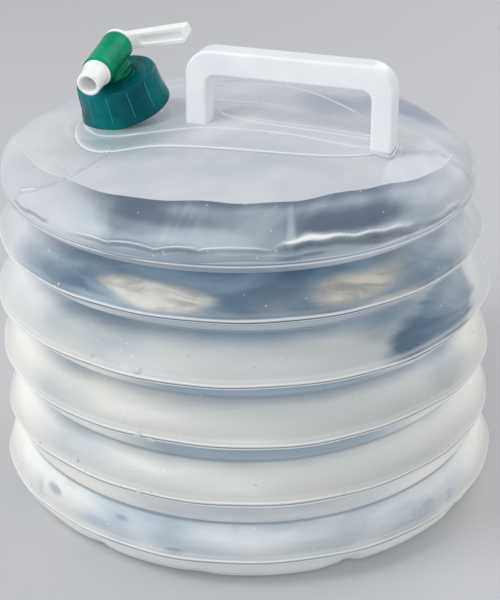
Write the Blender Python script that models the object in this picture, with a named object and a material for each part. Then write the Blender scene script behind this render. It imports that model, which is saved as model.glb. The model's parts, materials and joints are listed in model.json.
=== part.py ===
"""Collapsible water carrier: a pleated film bag with a moulded top, a handle, a screw cap and a lever tap.

Metres, +Z up. The origin is the centre of the underside, on the floor. The handle runs along X.
"""
import math

import bmesh
import bpy
from mathutils import Matrix, Vector

# Film bag: one blow moulding, split at its creases because every fold moves
film_wall = 0.0008
seam_gap = 0.0003
bag_radius = 0.150
pleat_depth = 0.038
crease_swell = 0.0072
base_swell = 0.003
top_fold_inset = 0.004
fold_pitch = 0.0375
fold_count = 5
pleat_power = 1.35
base_rim_height = 0.006
base_edge_inset = 0.014
base_flat_width = 0.026
base_raise = 0.003
base_raise_slope = 0.008
ring_steps = 40
fold_steps = 6
base_crest_radius = bag_radius + base_swell
base_edge_radius = base_crest_radius - base_edge_inset
base_contact_radius = base_edge_radius - base_flat_width

# Shoulder: the half fold over the last crease, then the dome
shoulder_inset = 0.0075
shoulder_crest_rise = 0.0125
dome_rise = 0.031
dome_power = 2.5
shoulder_steps = 3
dome_steps = 8
shoulder_radius = bag_radius - shoulder_inset

# Neck: a tilted tube that carries the cap
fitting_line_y = -0.018
neck_x = -0.069
neck_tilt = math.radians(17.8)
neck_heading = math.radians(228.0)
neck_rise = 0.0050
neck_height = 0.0187
neck_depth = 0.0125
neck_outer_radius = 0.0203
neck_wall = 0.0028
neck_film_clearance = 0.0009

# Cap liner that seals on the neck
liner_thickness = 0.0012
liner_gap = 0.0003
liner_overhang = 0.0010

# Screw cap: sized from the neck, with room for the thread
thread_room = 0.0030
cap_seat_gap = 0.0010
cap_wall = 0.0024
cap_top_wall = 0.0025
cap_taper = 0.0015
cap_flare = 0.0015
cap_flare_height = 0.0060
cap_edge = 0.0010
cap_rib_count = 12
cap_rib_height = 0.0005
cap_rib_half_angle = math.radians(1.4)
cap_rib_fade_angle = math.radians(1.2)
cap_ring_inset = 0.0057
cap_ring_half_width = 0.0004
cap_ring_depth = 0.0004
cap_stem_clearance = 0.0004
cap_waist_radius = neck_outer_radius + thread_room + cap_wall
cap_top_radius = cap_waist_radius - cap_taper
cap_rim_radius = cap_waist_radius + cap_flare
cap_top_height = neck_height + 2 * liner_gap + liner_thickness + cap_top_wall
cap_ring_radius = cap_top_radius - cap_ring_inset

# Handle: a bail whose two legs stand in sockets of the fitting
handle_middle_x = 0.033
handle_leg_spacing = 0.1115
handle_leg_width = 0.013
handle_bar_height = 0.0150
handle_depth = 0.0150
handle_finger_height = 0.0265
handle_outer_corner = 0.0160
handle_inner_corner = 0.0060
handle_edge = 0.0026
handle_corner_steps = 5

# Sockets that the handle's feet stand in, with level rims
socket_wall = 0.0022
socket_height = 0.0030
socket_floor = 0.0022
socket_clearance = 0.0003
socket_sink = 0.0010

# Top fitting: a stepped lens-shaped plate with the neck at one end and the sockets
plate_gap = 0.0004
plate_wall = 0.0014
plate_step = 0.0014
plate_neck_margin = 0.0058
plate_right_margin = 0.0012
plate_side_margin = 0.0025
plate_middle_x = 0.022
plate_middle_front = 0.038
plate_middle_back = 0.066
plate_edge_share = 0.80
plate_plateau_share = 0.76
plate_inner_share = 0.38
plate_first_share = 0.40
plate_end_steps = 5
plate_span_steps = 6
plate_neck_half_width = cap_rim_radius + plate_neck_margin
plate_right_half_width = handle_depth / 2 + socket_clearance + socket_wall + plate_side_margin

# Tap body: barrel, column, foot and hollow stem in one moulding
barrel_bore_radius = 0.0080
barrel_wall = 0.0015
barrel_front = 0.0175
barrel_rear = 0.0140
barrel_height = 0.0122
barrel_steps = 24
column_width = 0.0130
column_length = 0.0210
column_edge = 0.0022
column_sink = 0.0008
foot_width = 0.0045
foot_height = 0.0016
foot_gap = 0.0003
stem_radius = 0.0060
stem_wall = 0.0026
stem_lip = 0.0025
tap_swivel_rest = math.radians(-3.5)
barrel_outer_radius = barrel_bore_radius + barrel_wall
foot_radius = stem_radius + foot_width
stem_bore_radius = stem_radius - stem_wall

# Snap ring and sealing washer on the stem, under the cap
washer_thickness = 0.0014
washer_width = 0.0038
snap_ring_thickness = 0.0012
snap_ring_width = 0.0030
snap_groove_depth = 0.0009
snap_ring_mouth = math.radians(60.0)
ring_clearance = 0.0003
stem_length = cap_top_wall + 3 * ring_clearance + washer_thickness + snap_ring_thickness + stem_lip

# Valve core: spout, plug and lever in one moulding
core_clearance = 0.0003
spout_reach = 0.0145
spout_taper = 0.0007
spout_wall = 0.0022
plug_end_wall = 0.0040
bead_rise = 0.0005
bead_width = 0.0012
bead_bevel = 0.0004
hub_thickness = 0.0025
port_radius = 0.0030
lever_reach = 0.0468
lever_root_half_width = 0.0044
lever_tip_half_width = 0.0053
lever_thickness = 0.0060
lever_tip_cut = 0.0050
lever_tip_rake = 0.0012
lever_sink = 0.0010
lever_rest_angle = math.radians(2.0)
lever_channel_start = 0.0140
lever_channel_margin = 0.0045
lever_channel_half_width = 0.0026
lever_channel_depth = 0.0014
plug_radius = barrel_bore_radius - core_clearance
spout_mouth_radius = plug_radius - spout_taper
spout_bore_radius = spout_mouth_radius - spout_wall

# Ring seals on the core
seal_radius = 0.00075
seal_bore_clearance = 0.00012
seal_groove_clearance = 0.00015
seal_groove_half_width = 0.0010
seal_front_inset = 0.0050
seal_rear_inset = 0.0040
seal_steps = 6

overrun = 0.0020


def clear_scene():
    for old in list(bpy.data.objects):
        bpy.data.objects.remove(old, do_unlink=True)


def make_material(name, colour, roughness, alpha=1.0):
    material = bpy.data.materials.new(name)
    material.use_nodes = True
    shader = material.node_tree.nodes["Principled BSDF"]
    shader.inputs["Base Color"].default_value = (*colour, 1.0)
    shader.inputs["Roughness"].default_value = roughness
    shader.inputs["Metallic"].default_value = 0.0
    shader.inputs["Alpha"].default_value = alpha
    return material


def add_object(name, bm, material, frame=None):
    """Turn a bmesh into a named object, placed by its frame."""
    mesh = bpy.data.meshes.new(name)
    bm.to_mesh(mesh)
    bm.free()
    made = bpy.data.objects.new(name, mesh)
    bpy.context.collection.objects.link(made)
    if frame is not None:
        made.matrix_world = frame
    if material is not None:
        mesh.materials.append(material)
        mesh.shade_smooth()
        mesh.set_sharp_from_angle(angle=math.radians(35.0))
    return made


def hide_tool(tool):
    tool.hide_render = True
    tool.display_type = "WIRE"
    return tool


def combine(target, tool, operation):
    """Boolean a hidden tool into a piece."""
    hide_tool(tool)
    step = target.modifiers.new(operation.title() + " " + tool.name, "BOOLEAN")
    step.operation = operation
    step.solver = "EXACT"
    step.object = tool


def spin_outline(points, closed, steps=ring_steps, cap_axis="Z"):
    """Turn an outline of (radius, height) points about Z, or about Y."""
    bm = bmesh.new()
    verts = [bm.verts.new((radius, 0.0, height)) for radius, height in points]
    edges = [bm.edges.new(pair) for pair in zip(verts, verts[1:])]
    if closed:
        edges.append(bm.edges.new((verts[-1], verts[0])))
    bmesh.ops.spin(bm, geom=verts + edges, cent=(0, 0, 0), axis=(0, 0, 1), dvec=(0, 0, 0),
                   angle=math.tau, steps=steps, use_duplicate=False)
    bmesh.ops.remove_doubles(bm, verts=bm.verts, dist=seam_gap / 100)
    bmesh.ops.recalc_face_normals(bm, faces=bm.faces)
    if cap_axis == "Y":
        bmesh.ops.rotate(bm, verts=bm.verts, cent=(0, 0, 0), matrix=Matrix.Rotation(math.radians(-90), 3, "X"))
    return bm


def face_outwards(bm):
    """Point an open sheet's faces away from the axis."""
    outward = 0.0
    for face in bm.faces:
        centre = face.calc_center_median()
        outward += face.calc_area() * face.normal.dot(Vector((centre.x, centre.y, 0)))
    if outward < 0:
        bmesh.ops.reverse_faces(bm, faces=bm.faces)


def add_wall(piece, thickness):
    wall = piece.modifiers.new("Film wall", "SOLIDIFY")
    wall.thickness = thickness
    wall.offset = -1
    wall.use_even_offset = True


def crease_radius(level):
    """Radius of a crease, counted up from the floor: the water pushes the lower ones further out."""
    return bag_radius - pleat_depth + crease_swell * (fold_count - level)


def pleat_radius(z, low_z, high_z, low_radius, high_radius, crest_radius):
    """Radius of a pleat at a height: a superellipse between two creases."""
    t = min(max((z - low_z) / (high_z - low_z), 0), 1)
    crease = low_radius + (high_radius - low_radius) * t
    swell = (1 - abs(2 * t - 1) ** pleat_power) ** (1 / pleat_power)
    return crease + (crest_radius - crease) * swell


def base_pleat_radius(z):
    return pleat_radius(z, 0, fold_pitch, base_edge_radius, crease_radius(1), base_crest_radius)


def eased(count):
    """Shares from 0 to 1 that crowd at both ends."""
    return [(1 - math.cos(math.pi * i / count)) / 2 for i in range(count + 1)]


def even(count):
    """Shares from 0, stopping short of 1."""
    return [i / count for i in range(count)]


def make_bag_base(film):
    """Floor with a raised middle, a flat contact ring and the start of the lowest pleat."""
    points = [(0, base_raise), (base_contact_radius - base_raise_slope, base_raise), (base_contact_radius, 0),
              (base_edge_radius, 0)]
    for i in range(1, shoulder_steps + 1):
        z = base_rim_height * i / shoulder_steps
        points.append((base_pleat_radius(z), z))
    bm = spin_outline(points, closed=False)
    face_outwards(bm)
    base = add_object("bag_base", bm, film)
    add_wall(base, film_wall)


def make_fold(index, film):
    """One pleat between two creases; the lowest starts on the base's rim."""
    low = fold_pitch * index
    high = low + fold_pitch
    start = base_rim_height + seam_gap if index == 0 else low + seam_gap / 2
    end = high - seam_gap / 2
    points = []
    for share in eased(fold_steps):
        z = start + (end - start) * share
        if index == 0:
            radius = base_pleat_radius(z)
        else:
            crest = bag_radius - (top_fold_inset if index == fold_count - 1 else 0)
            radius = pleat_radius(z, low, high, crease_radius(index), crease_radius(index + 1), crest)
        points.append((radius, z))
    bm = spin_outline(points, closed=False)
    face_outwards(bm)
    fold = add_object("bag_fold_%d" % (index + 1), bm, film)
    add_wall(fold, film_wall)


def top_crease_z():
    return fold_pitch * fold_count


def dome_z(x, y):
    """Height of the dome's outer face."""
    share = min(math.hypot(x, y) / shoulder_radius, 1)
    crest = top_crease_z() + shoulder_crest_rise
    return crest + dome_rise * (1 - share ** dome_power) ** (1 / dome_power)


def shoulder_outline():
    inner = crease_radius(fold_count)
    points = []
    for i in range(shoulder_steps + 1):
        turn = math.radians(90) * i / shoulder_steps
        rise = math.sin(turn)
        swell = math.sqrt(1 - (1 - rise) ** 2)
        z = top_crease_z() + seam_gap / 2 + (shoulder_crest_rise - seam_gap / 2) * rise
        points.append((inner + (shoulder_radius - inner) * swell, z))
    for i in range(1, dome_steps + 1):
        turn = math.radians(90) * i / dome_steps
        radius = shoulder_radius * math.cos(turn) ** (2 / dome_power) if i < dome_steps else 0
        points.append((radius, dome_z(radius, 0)))
    return points


def neck_frame():
    """Frame with +Z up the neck's axis and its origin where that axis meets the plate."""
    along = Vector((math.sin(neck_tilt) * math.cos(neck_heading), math.sin(neck_tilt) * math.sin(neck_heading),
                    math.cos(neck_tilt)))
    back = Vector((0, 1, 0))
    back = (back - along * back.dot(along)).normalized()
    right = back.cross(along)
    base = Vector((neck_x, fitting_line_y, dome_z(neck_x, fitting_line_y) + plate_gap + plate_wall + neck_rise))
    frame = Matrix((right, back, along)).transposed().to_4x4()
    frame.translation = base
    return frame


def cylinder(name, radius, low, high, frame, steps=ring_steps, axis="Z"):
    """A plain closed cylinder used as a tool."""
    bm = spin_outline([(0, low), (radius, low), (radius, high), (0, high)], False, steps, axis)
    return add_object(name, bm, None, frame)


def make_shoulder(film):
    bm = spin_outline(shoulder_outline(), closed=False)
    face_outwards(bm)
    shoulder = add_object("bag_shoulder", bm, film)
    add_wall(shoulder, film_wall)
    hole = cylinder("shoulder_neck_hole", neck_outer_radius + neck_film_clearance, -shoulder_crest_rise,
                    shoulder_crest_rise, neck_frame())
    combine(shoulder, hole, "DIFFERENCE")


def plate_right_x():
    return handle_leg_places()[1] + socket_half_sizes()[0] + plate_right_margin


def plate_stations():
    """Places along the plate with its half widths in front and behind at each."""
    stations = []
    neck_half = plate_neck_half_width
    for i in range(plate_end_steps):
        turn = math.radians(90) * (i + plate_first_share) / plate_end_steps
        half = neck_half * math.sin(turn)
        stations.append((neck_x - neck_half * math.cos(turn), half, half))
    right_half = plate_right_half_width
    right_centre = plate_right_x() - right_half
    spans = ((neck_x, neck_half, neck_half, plate_middle_x, plate_middle_front, plate_middle_back),
             (plate_middle_x, plate_middle_front, plate_middle_back, right_centre, right_half, right_half))
    for x_from, front_from, back_from, x_to, front_to, back_to in spans:
        for share, blend in zip(even(plate_span_steps), eased(plate_span_steps)):
            stations.append((x_from + (x_to - x_from) * share, front_from + (front_to - front_from) * blend,
                             back_from + (back_to - back_from) * blend))
    for i in range(plate_end_steps):
        turn = math.radians(90) * i / plate_end_steps
        half = right_half * math.cos(turn)
        stations.append((right_centre + right_half * math.sin(turn), half, half))
    return stations


def plate_grid(bm, upper):
    """Rows of vertices on the dome, for the plate's underside or its stepped upper face."""
    shares = (-1, -plate_edge_share, -plate_plateau_share, -plate_inner_share, 0, plate_inner_share,
              plate_plateau_share, plate_edge_share, 1)
    plateau_start = neck_x + plate_neck_half_width
    grid = []
    for x, front, back in plate_stations():
        row = []
        for share in shares:
            y = fitting_line_y + share * (back if share > 0 else front)
            z = dome_z(x, y) + plate_gap
            if upper:
                z += plate_wall + (plate_step if abs(share) < plate_edge_share and x > plateau_start else 0)
            row.append(bm.verts.new((x, y, z)))
        grid.append(row)
    return grid


def make_plate(film):
    """Loft the stepped plate over the dome, station by station."""
    bm = bmesh.new()
    under = plate_grid(bm, False)
    over = plate_grid(bm, True)
    last = len(under) - 1
    columns = len(under[0]) - 1
    for i in range(last):
        for j in range(columns):
            bm.faces.new((over[i][j], over[i + 1][j], over[i + 1][j + 1], over[i][j + 1]))
            bm.faces.new((under[i][j], under[i][j + 1], under[i + 1][j + 1], under[i + 1][j]))
        for j in (0, columns):
            bm.faces.new((under[i][j], under[i + 1][j], over[i + 1][j], over[i][j]))
    for i in (0, last):
        for j in range(columns):
            bm.faces.new((under[i][j], under[i][j + 1], over[i][j + 1], over[i][j]))
    bmesh.ops.recalc_face_normals(bm, faces=bm.faces)
    return add_object("top_fitting", bm, film)


def handle_leg_places():
    half = handle_leg_spacing / 2
    return handle_middle_x - half, handle_middle_x + half


def socket_top():
    """Both socket rims stand at one level, set by the higher end of the plate."""
    highest = max(dome_z(leg_x, fitting_line_y) for leg_x in handle_leg_places())
    return highest + plate_gap + plate_wall + plate_step + socket_height


def socket_half_sizes():
    grow = socket_clearance + socket_wall
    return handle_leg_width / 2 + grow, handle_depth / 2 + grow


def socket_block(name, leg_x):
    """A block whose underside lies inside the plate and follows the dome."""
    half_x, half_y = socket_half_sizes()
    bm = bmesh.new()
    bmesh.ops.create_cube(bm, size=2)
    top = socket_top()
    for vert in bm.verts:
        x = leg_x + half_x * vert.co.x
        y = fitting_line_y + half_y * vert.co.y
        z = top if vert.co.z > 0 else dome_z(x, y) + plate_gap + socket_sink
        vert.co = Vector((x, y, z))
    uprights = [edge for edge in bm.edges if abs(edge.verts[0].co.x - edge.verts[1].co.x) < seam_gap
                and abs(edge.verts[0].co.y - edge.verts[1].co.y) < seam_gap]
    bmesh.ops.bevel(bm, geom=uprights, offset=handle_edge, segments=2, profile=0.5, affect="EDGES")
    bmesh.ops.recalc_face_normals(bm, faces=bm.faces)
    return add_object(name, bm, None)


def foot_z():
    """Underside of the handle's feet, on their clearance over the socket floors."""
    return socket_top() - socket_height - plate_step + socket_floor + socket_clearance


def socket_pocket(name, leg_x):
    half_x = handle_leg_width / 2 + socket_clearance
    half_y = handle_depth / 2 + socket_clearance
    low = foot_z() - socket_clearance
    high = socket_top() + overrun
    bm = bmesh.new()
    bmesh.ops.create_cube(bm, size=2)
    for vert in bm.verts:
        z = high if vert.co.z > 0 else low
        vert.co = Vector((leg_x + half_x * vert.co.x, fitting_line_y + half_y * vert.co.y, z))
    return add_object(name, bm, None)


def make_top_fitting(film):
    fitting = make_plate(film)
    frame = neck_frame()
    tube = cylinder("fitting_neck", neck_outer_radius, -neck_depth, neck_height, frame)
    combine(fitting, tube, "UNION")
    for side, leg_x in zip(("left", "right"), handle_leg_places()):
        combine(fitting, socket_block("fitting_socket_" + side, leg_x), "UNION")
        combine(fitting, socket_pocket("fitting_pocket_" + side, leg_x), "DIFFERENCE")
    bore = cylinder("fitting_bore", neck_outer_radius - neck_wall, -neck_depth - plate_neck_half_width,
                    neck_height + overrun, frame)
    combine(fitting, bore, "DIFFERENCE")


def corner(centre_x, centre_z, radius, start, steps=handle_corner_steps):
    """Points of a quarter turn, from a start angle clockwise."""
    points = []
    for i in range(steps + 1):
        turn = start - math.radians(90) * i / steps
        points.append((centre_x + radius * math.cos(turn), centre_z + radius * math.sin(turn)))
    return points


def handle_under_bar_z():
    """Underside of the bar, a hand's room above the sockets' rims."""
    return socket_top() + handle_finger_height


def make_handle(material):
    """Extrude the bail's outline and soften all its edges."""
    left, right = handle_leg_places()
    half = handle_leg_width / 2
    out_left, out_right = left - half, right + half
    in_left, in_right = left + half, right - half
    under_bar = handle_under_bar_z()
    top = under_bar + handle_bar_height
    outline = [(out_left, foot_z())]
    high, low = top - handle_outer_corner, under_bar - handle_inner_corner
    outline += corner(out_left + handle_outer_corner, high, handle_outer_corner, math.pi)
    outline += corner(out_right - handle_outer_corner, high, handle_outer_corner, math.pi / 2)
    outline += [(out_right, foot_z()), (in_right, foot_z())]
    outline += reversed(corner(in_right - handle_inner_corner, low, handle_inner_corner, math.pi / 2))
    outline += reversed(corner(in_left + handle_inner_corner, low, handle_inner_corner, math.pi))
    outline += [(in_left, foot_z())]
    bm = bmesh.new()
    face = bm.faces.new([bm.verts.new((x, fitting_line_y - handle_depth / 2, z)) for x, z in outline])
    grown = bmesh.ops.extrude_face_region(bm, geom=[face])
    moved = [item for item in grown["geom"] if isinstance(item, bmesh.types.BMVert)]
    bmesh.ops.translate(bm, verts=moved, vec=(0, handle_depth, 0))
    bmesh.ops.recalc_face_normals(bm, faces=bm.faces)
    handle = add_object("carry_handle", bm, material)
    soften = handle.modifiers.new("Soft edges", "BEVEL")
    soften.width = handle_edge
    soften.segments = 2
    soften.limit_method = "ANGLE"
    soften.angle_limit = math.radians(50)


def cap_angles():
    """Angles round the cap, with four at each grip rib and one between."""
    angles = []
    reach = cap_rib_half_angle + cap_rib_fade_angle
    for i in range(cap_rib_count):
        middle = math.tau * i / cap_rib_count
        step = math.tau / cap_rib_count
        angles += [(middle - reach, 0), (middle - cap_rib_half_angle, 1), (middle + cap_rib_half_angle, 1),
                   (middle + reach, 0), (middle + step / 2, 0)]
    return angles


def cap_rings():
    """Rings of (radius, height, rib share) from the stem hole, over the outside, to the inner top."""
    low = cap_seat_gap
    high = cap_top_height
    ceiling = high - cap_top_wall
    hole = stem_radius + cap_stem_clearance
    inner = cap_waist_radius - cap_wall
    return [(hole, high, 0), (cap_ring_radius - cap_ring_half_width, high, 0),
            (cap_ring_radius, high - cap_ring_depth, 0), (cap_ring_radius + cap_ring_half_width, high, 0),
            (cap_top_radius - cap_edge, high, 0), (cap_top_radius, high - cap_edge, 1),
            (cap_waist_radius, low + cap_flare_height, 1), (cap_rim_radius, low + cap_edge, 0),
            (cap_rim_radius - cap_edge, low, 0), (inner, low, 0), (cap_top_radius - cap_wall, ceiling, 0),
            (hole, ceiling, 0)]


def make_cap(material):
    """Screw cap: a hollow tapered drum with a flared rim and slim upright ribs."""
    bm = bmesh.new()
    angles = cap_angles()
    loops = []
    for radius, height, share in cap_rings():
        loop = []
        for angle, rib in angles:
            reach = radius + cap_rib_height * rib * share
            loop.append(bm.verts.new((reach * math.cos(angle), reach * math.sin(angle), height)))
        loops.append(loop)
    for first, second in zip(loops, loops[1:] + loops[:1]):
        for i in range(len(first)):
            j = (i + 1) % len(first)
            bm.faces.new((first[i], first[j], second[j], second[i]))
    bmesh.ops.recalc_face_normals(bm, faces=bm.faces)
    add_object("cap_shell", bm, material, neck_frame())


def make_cap_liner(material):
    high = cap_top_height - cap_top_wall - liner_gap
    low = high - liner_thickness
    inner = neck_outer_radius - neck_wall - liner_overhang
    outer = neck_outer_radius + liner_overhang
    bm = spin_outline([(inner, low), (outer, low), (outer, high), (inner, high)], closed=True)
    add_object("cap_liner", bm, material, neck_frame())


def tap_frame():
    """Frame on the neck's axis at the cap's top, turned to where the barrel points at rest."""
    return neck_frame() @ Matrix.Translation((0, 0, cap_top_height)) @ Matrix.Rotation(tap_swivel_rest, 4, "Z")


def washer_top():
    return -cap_top_wall - ring_clearance


def snap_ring_top():
    return washer_top() - washer_thickness - ring_clearance


def stem_outline():
    """Foot and stem, with the snap ring's groove."""
    groove_high = snap_ring_top() + ring_clearance
    groove_low = snap_ring_top() - snap_ring_thickness - ring_clearance
    groove = stem_radius - snap_groove_depth
    return [(0, -stem_length), (stem_radius, -stem_length), (stem_radius, groove_low), (groove, groove_low),
            (groove, groove_high), (stem_radius, groove_high), (stem_radius, foot_gap), (foot_radius, foot_gap),
            (foot_radius, foot_gap + foot_height), (0, foot_gap + foot_height)]


def make_column():
    """Block that joins the foot to the barrel, with its upright edges rounded."""
    low = foot_gap + column_sink
    high = barrel_height
    bm = bmesh.new()
    bmesh.ops.create_cube(bm, size=1)
    bmesh.ops.scale(bm, verts=bm.verts, vec=(column_width, column_length, high - low))
    bmesh.ops.translate(bm, verts=bm.verts, vec=(0, 0, (low + high) / 2))
    uprights = [edge for edge in bm.edges if abs(edge.verts[0].co.z - edge.verts[1].co.z) > foot_height]
    bmesh.ops.bevel(bm, geom=uprights, offset=column_edge, segments=2, profile=0.5, affect="EDGES")
    bmesh.ops.recalc_face_normals(bm, faces=bm.faces)
    return add_object("tap_column", bm, None, tap_frame())


def barrel_frame():
    """Frame with its +Y along the barrel, towards the lever."""
    return tap_frame() @ Matrix.Translation((0, 0, barrel_height))


def make_tap_body(material):
    body = add_object("tap_body", spin_outline(stem_outline(), False, barrel_steps), material, tap_frame())
    combine(body, make_column(), "UNION")
    barrel = cylinder("tap_barrel", barrel_outer_radius, -barrel_front, barrel_rear, barrel_frame(),
                      barrel_steps, "Y")
    combine(body, barrel, "UNION")
    bore = cylinder("tap_barrel_bore", barrel_bore_radius, -barrel_front - overrun, barrel_rear + overrun,
                    barrel_frame(), barrel_steps, "Y")
    combine(body, bore, "DIFFERENCE")
    passage = cylinder("tap_stem_bore", stem_bore_radius, -stem_length - overrun, barrel_height, tap_frame(),
                       barrel_steps)
    combine(body, passage, "DIFFERENCE")


def make_stem_washer(material):
    high = washer_top()
    low = high - washer_thickness
    inner = stem_radius + ring_clearance
    washer_outer = stem_radius + washer_width
    bm = spin_outline([(inner, low), (washer_outer, low), (washer_outer, high), (inner, high)], True,
                      barrel_steps)
    add_object("stem_washer", bm, material, tap_frame())


def make_snap_ring(material):
    """Open ring that clips into the stem's groove."""
    high = snap_ring_top()
    low = high - snap_ring_thickness
    inner = stem_radius - snap_groove_depth + ring_clearance
    ring_outer = stem_radius + snap_ring_width
    outline = [(inner, low), (ring_outer, low), (ring_outer, high), (inner, high)]
    bm = bmesh.new()
    half_mouth = snap_ring_mouth / 2
    start = Matrix.Rotation(half_mouth, 3, "Z")
    verts = [bm.verts.new(start @ Vector((radius, 0, z))) for radius, z in outline]
    face = bm.faces.new(verts)
    bmesh.ops.spin(bm, geom=[face], cent=(0, 0, 0), axis=(0, 0, 1), dvec=(0, 0, 0),
                   angle=math.tau - snap_ring_mouth, steps=barrel_steps, use_duplicate=False)
    bmesh.ops.recalc_face_normals(bm, faces=bm.faces)
    add_object("stem_snap_ring", bm, material, tap_frame())


def seal_places():
    """Places of the two ring seals along the barrel."""
    return -barrel_front + seal_front_inset, barrel_rear - seal_rear_inset


def seal_centre_radius():
    return barrel_bore_radius - seal_bore_clearance - seal_radius


def core_outline():
    """Outline of the plug and spout: the outside from the hub to the mouth, then back up the bore."""
    plug = plug_radius
    bore_end = barrel_rear - plug_end_wall
    groove = seal_centre_radius() - seal_radius - seal_groove_clearance
    front_seal, rear_seal = seal_places()
    hub = barrel_rear + core_clearance
    bead_back = -barrel_front - core_clearance
    bead_front = bead_back - bead_width
    mouth = -barrel_front - spout_reach
    points = [(0, hub + hub_thickness), (barrel_outer_radius, hub + hub_thickness), (barrel_outer_radius, hub),
              (plug, hub)]
    for place in (rear_seal, front_seal):
        points += [(plug, place + seal_groove_half_width), (groove, place + seal_groove_half_width),
                   (groove, place - seal_groove_half_width), (plug, place - seal_groove_half_width)]
    points += [(plug, bead_back), (barrel_bore_radius + bead_rise, bead_back - bead_bevel),
               (barrel_bore_radius + bead_rise, bead_front + bead_bevel), (plug, bead_front),
               (spout_mouth_radius, mouth), (spout_bore_radius, mouth),
               (spout_bore_radius, bore_end), (0, bore_end)]
    return points


def core_frame():
    return barrel_frame() @ Matrix.Rotation(-lever_rest_angle, 4, "Y")


def lever_blade():
    """Lever arm: a bar that widens to a tip with its lower corner cut away."""
    back = barrel_rear + core_clearance + hub_thickness - lever_sink
    outline = [(0, -lever_root_half_width), (lever_reach - lever_tip_cut, -lever_tip_half_width),
               (lever_reach, -lever_tip_half_width + lever_tip_cut),
               (lever_reach - lever_tip_rake, lever_tip_half_width), (0, lever_root_half_width)]
    bm = bmesh.new()
    face = bm.faces.new([bm.verts.new((x, back, z)) for x, z in outline])
    grown = bmesh.ops.extrude_face_region(bm, geom=[face])
    moved = [item for item in grown["geom"] if isinstance(item, bmesh.types.BMVert)]
    bmesh.ops.translate(bm, verts=moved, vec=(0, lever_thickness, 0))
    bmesh.ops.recalc_face_normals(bm, faces=bm.faces)
    return add_object("core_lever", bm, None, core_frame())


def lever_channel():
    """Shallow channel along the lever's front face."""
    front = barrel_rear + core_clearance + hub_thickness - lever_sink
    bm = bmesh.new()
    bmesh.ops.create_cube(bm, size=2)
    high_x = lever_reach - lever_channel_margin
    for vert in bm.verts:
        x = high_x if vert.co.x > 0 else lever_channel_start
        y = front + lever_channel_depth if vert.co.y > 0 else front - overrun
        vert.co = Vector((x, y, lever_channel_half_width * vert.co.z))
    return add_object("core_lever_channel", bm, None, core_frame())


def make_valve_core(material):
    shape = spin_outline(core_outline(), False, barrel_steps, "Y")
    core = add_object("valve_core", shape, material, core_frame())
    combine(core, lever_blade(), "UNION")
    combine(core, lever_channel(), "DIFFERENCE")
    port_frame = core_frame() @ Matrix.Rotation(math.radians(-90), 4, "Y")
    port = cylinder("core_port", port_radius, 0, barrel_bore_radius + overrun, port_frame, barrel_steps)
    combine(core, port, "DIFFERENCE")


def make_core_seals(material):
    """Two rings of round section in the core's grooves."""
    for side, place in zip(("front", "rear"), seal_places()):
        outline = []
        for i in range(seal_steps):
            turn = math.tau * (i + 0.5) / seal_steps
            outline.append((seal_centre_radius() + seal_radius * math.cos(turn),
                            place + seal_radius * math.sin(turn)))
        add_object("core_seal_" + side, spin_outline(outline, True, barrel_steps, "Y"), material, core_frame())


def main():
    clear_scene()
    film = make_material("Clear film", (0.80, 0.86, 0.90), 0.22, 0.45)
    moulded_film = make_material("Moulded film", (0.84, 0.88, 0.92), 0.25, 0.60)
    handle_white = make_material("Milky handle", (0.86, 0.90, 0.95), 0.32)
    cap_green = make_material("Dark green cap", (0.00, 0.16, 0.14), 0.18)
    tap_green = make_material("Green tap", (0.01, 0.30, 0.17), 0.30)
    core_white = make_material("White core", (0.90, 0.91, 0.91), 0.35)
    rubber = make_material("Seal rubber", (0.03, 0.03, 0.03), 0.60)
    make_bag_base(film)
    for index in range(fold_count):
        make_fold(index, film)
    make_shoulder(film)
    make_top_fitting(moulded_film)
    make_handle(handle_white)
    make_cap(cap_green)
    make_cap_liner(rubber)
    make_tap_body(tap_green)
    make_stem_washer(rubber)
    make_snap_ring(core_white)
    make_valve_core(core_white)
    make_core_seals(rubber)


main()
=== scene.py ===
import json
import math

import bmesh
import bpy
import numpy as np
from mathutils import Matrix, Vector

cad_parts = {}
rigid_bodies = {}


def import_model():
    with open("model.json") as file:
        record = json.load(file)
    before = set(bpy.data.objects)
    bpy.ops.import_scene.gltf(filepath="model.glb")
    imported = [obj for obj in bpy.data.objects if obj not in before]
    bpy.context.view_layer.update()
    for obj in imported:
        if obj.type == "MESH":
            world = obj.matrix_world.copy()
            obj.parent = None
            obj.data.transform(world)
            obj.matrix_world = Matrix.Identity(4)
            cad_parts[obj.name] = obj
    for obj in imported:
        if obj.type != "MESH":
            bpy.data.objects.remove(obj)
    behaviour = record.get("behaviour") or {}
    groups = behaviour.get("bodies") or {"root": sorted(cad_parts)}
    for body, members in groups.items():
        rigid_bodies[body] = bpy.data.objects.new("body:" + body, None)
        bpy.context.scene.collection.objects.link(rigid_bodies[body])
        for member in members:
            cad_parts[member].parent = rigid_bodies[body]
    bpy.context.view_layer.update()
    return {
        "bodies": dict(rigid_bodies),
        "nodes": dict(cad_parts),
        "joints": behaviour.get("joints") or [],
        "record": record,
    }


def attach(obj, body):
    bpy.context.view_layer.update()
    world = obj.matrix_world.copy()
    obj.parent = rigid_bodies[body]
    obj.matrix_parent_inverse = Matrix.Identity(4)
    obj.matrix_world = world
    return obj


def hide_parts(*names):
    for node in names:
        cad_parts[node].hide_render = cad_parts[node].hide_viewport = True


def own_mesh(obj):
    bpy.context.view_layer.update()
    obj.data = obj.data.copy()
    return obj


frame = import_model()
print("frame loaded")

# found from the bag's outline in the photograph
camera = dict(target=(0.0, 0.0, 0.12), distance=1.05, turn=18.0, down=25.36, lens=100.8,
              shiftX=0.0067, shiftY=-0.024)


def addObject(name, data, place, away):
    # an object that looks against the direction away
    made = bpy.data.objects.new(name, data)
    made.location = place
    made.rotation_euler = away.to_track_quat("Z", "Y").to_euler()
    bpy.context.collection.objects.link(made)
    return made


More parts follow.
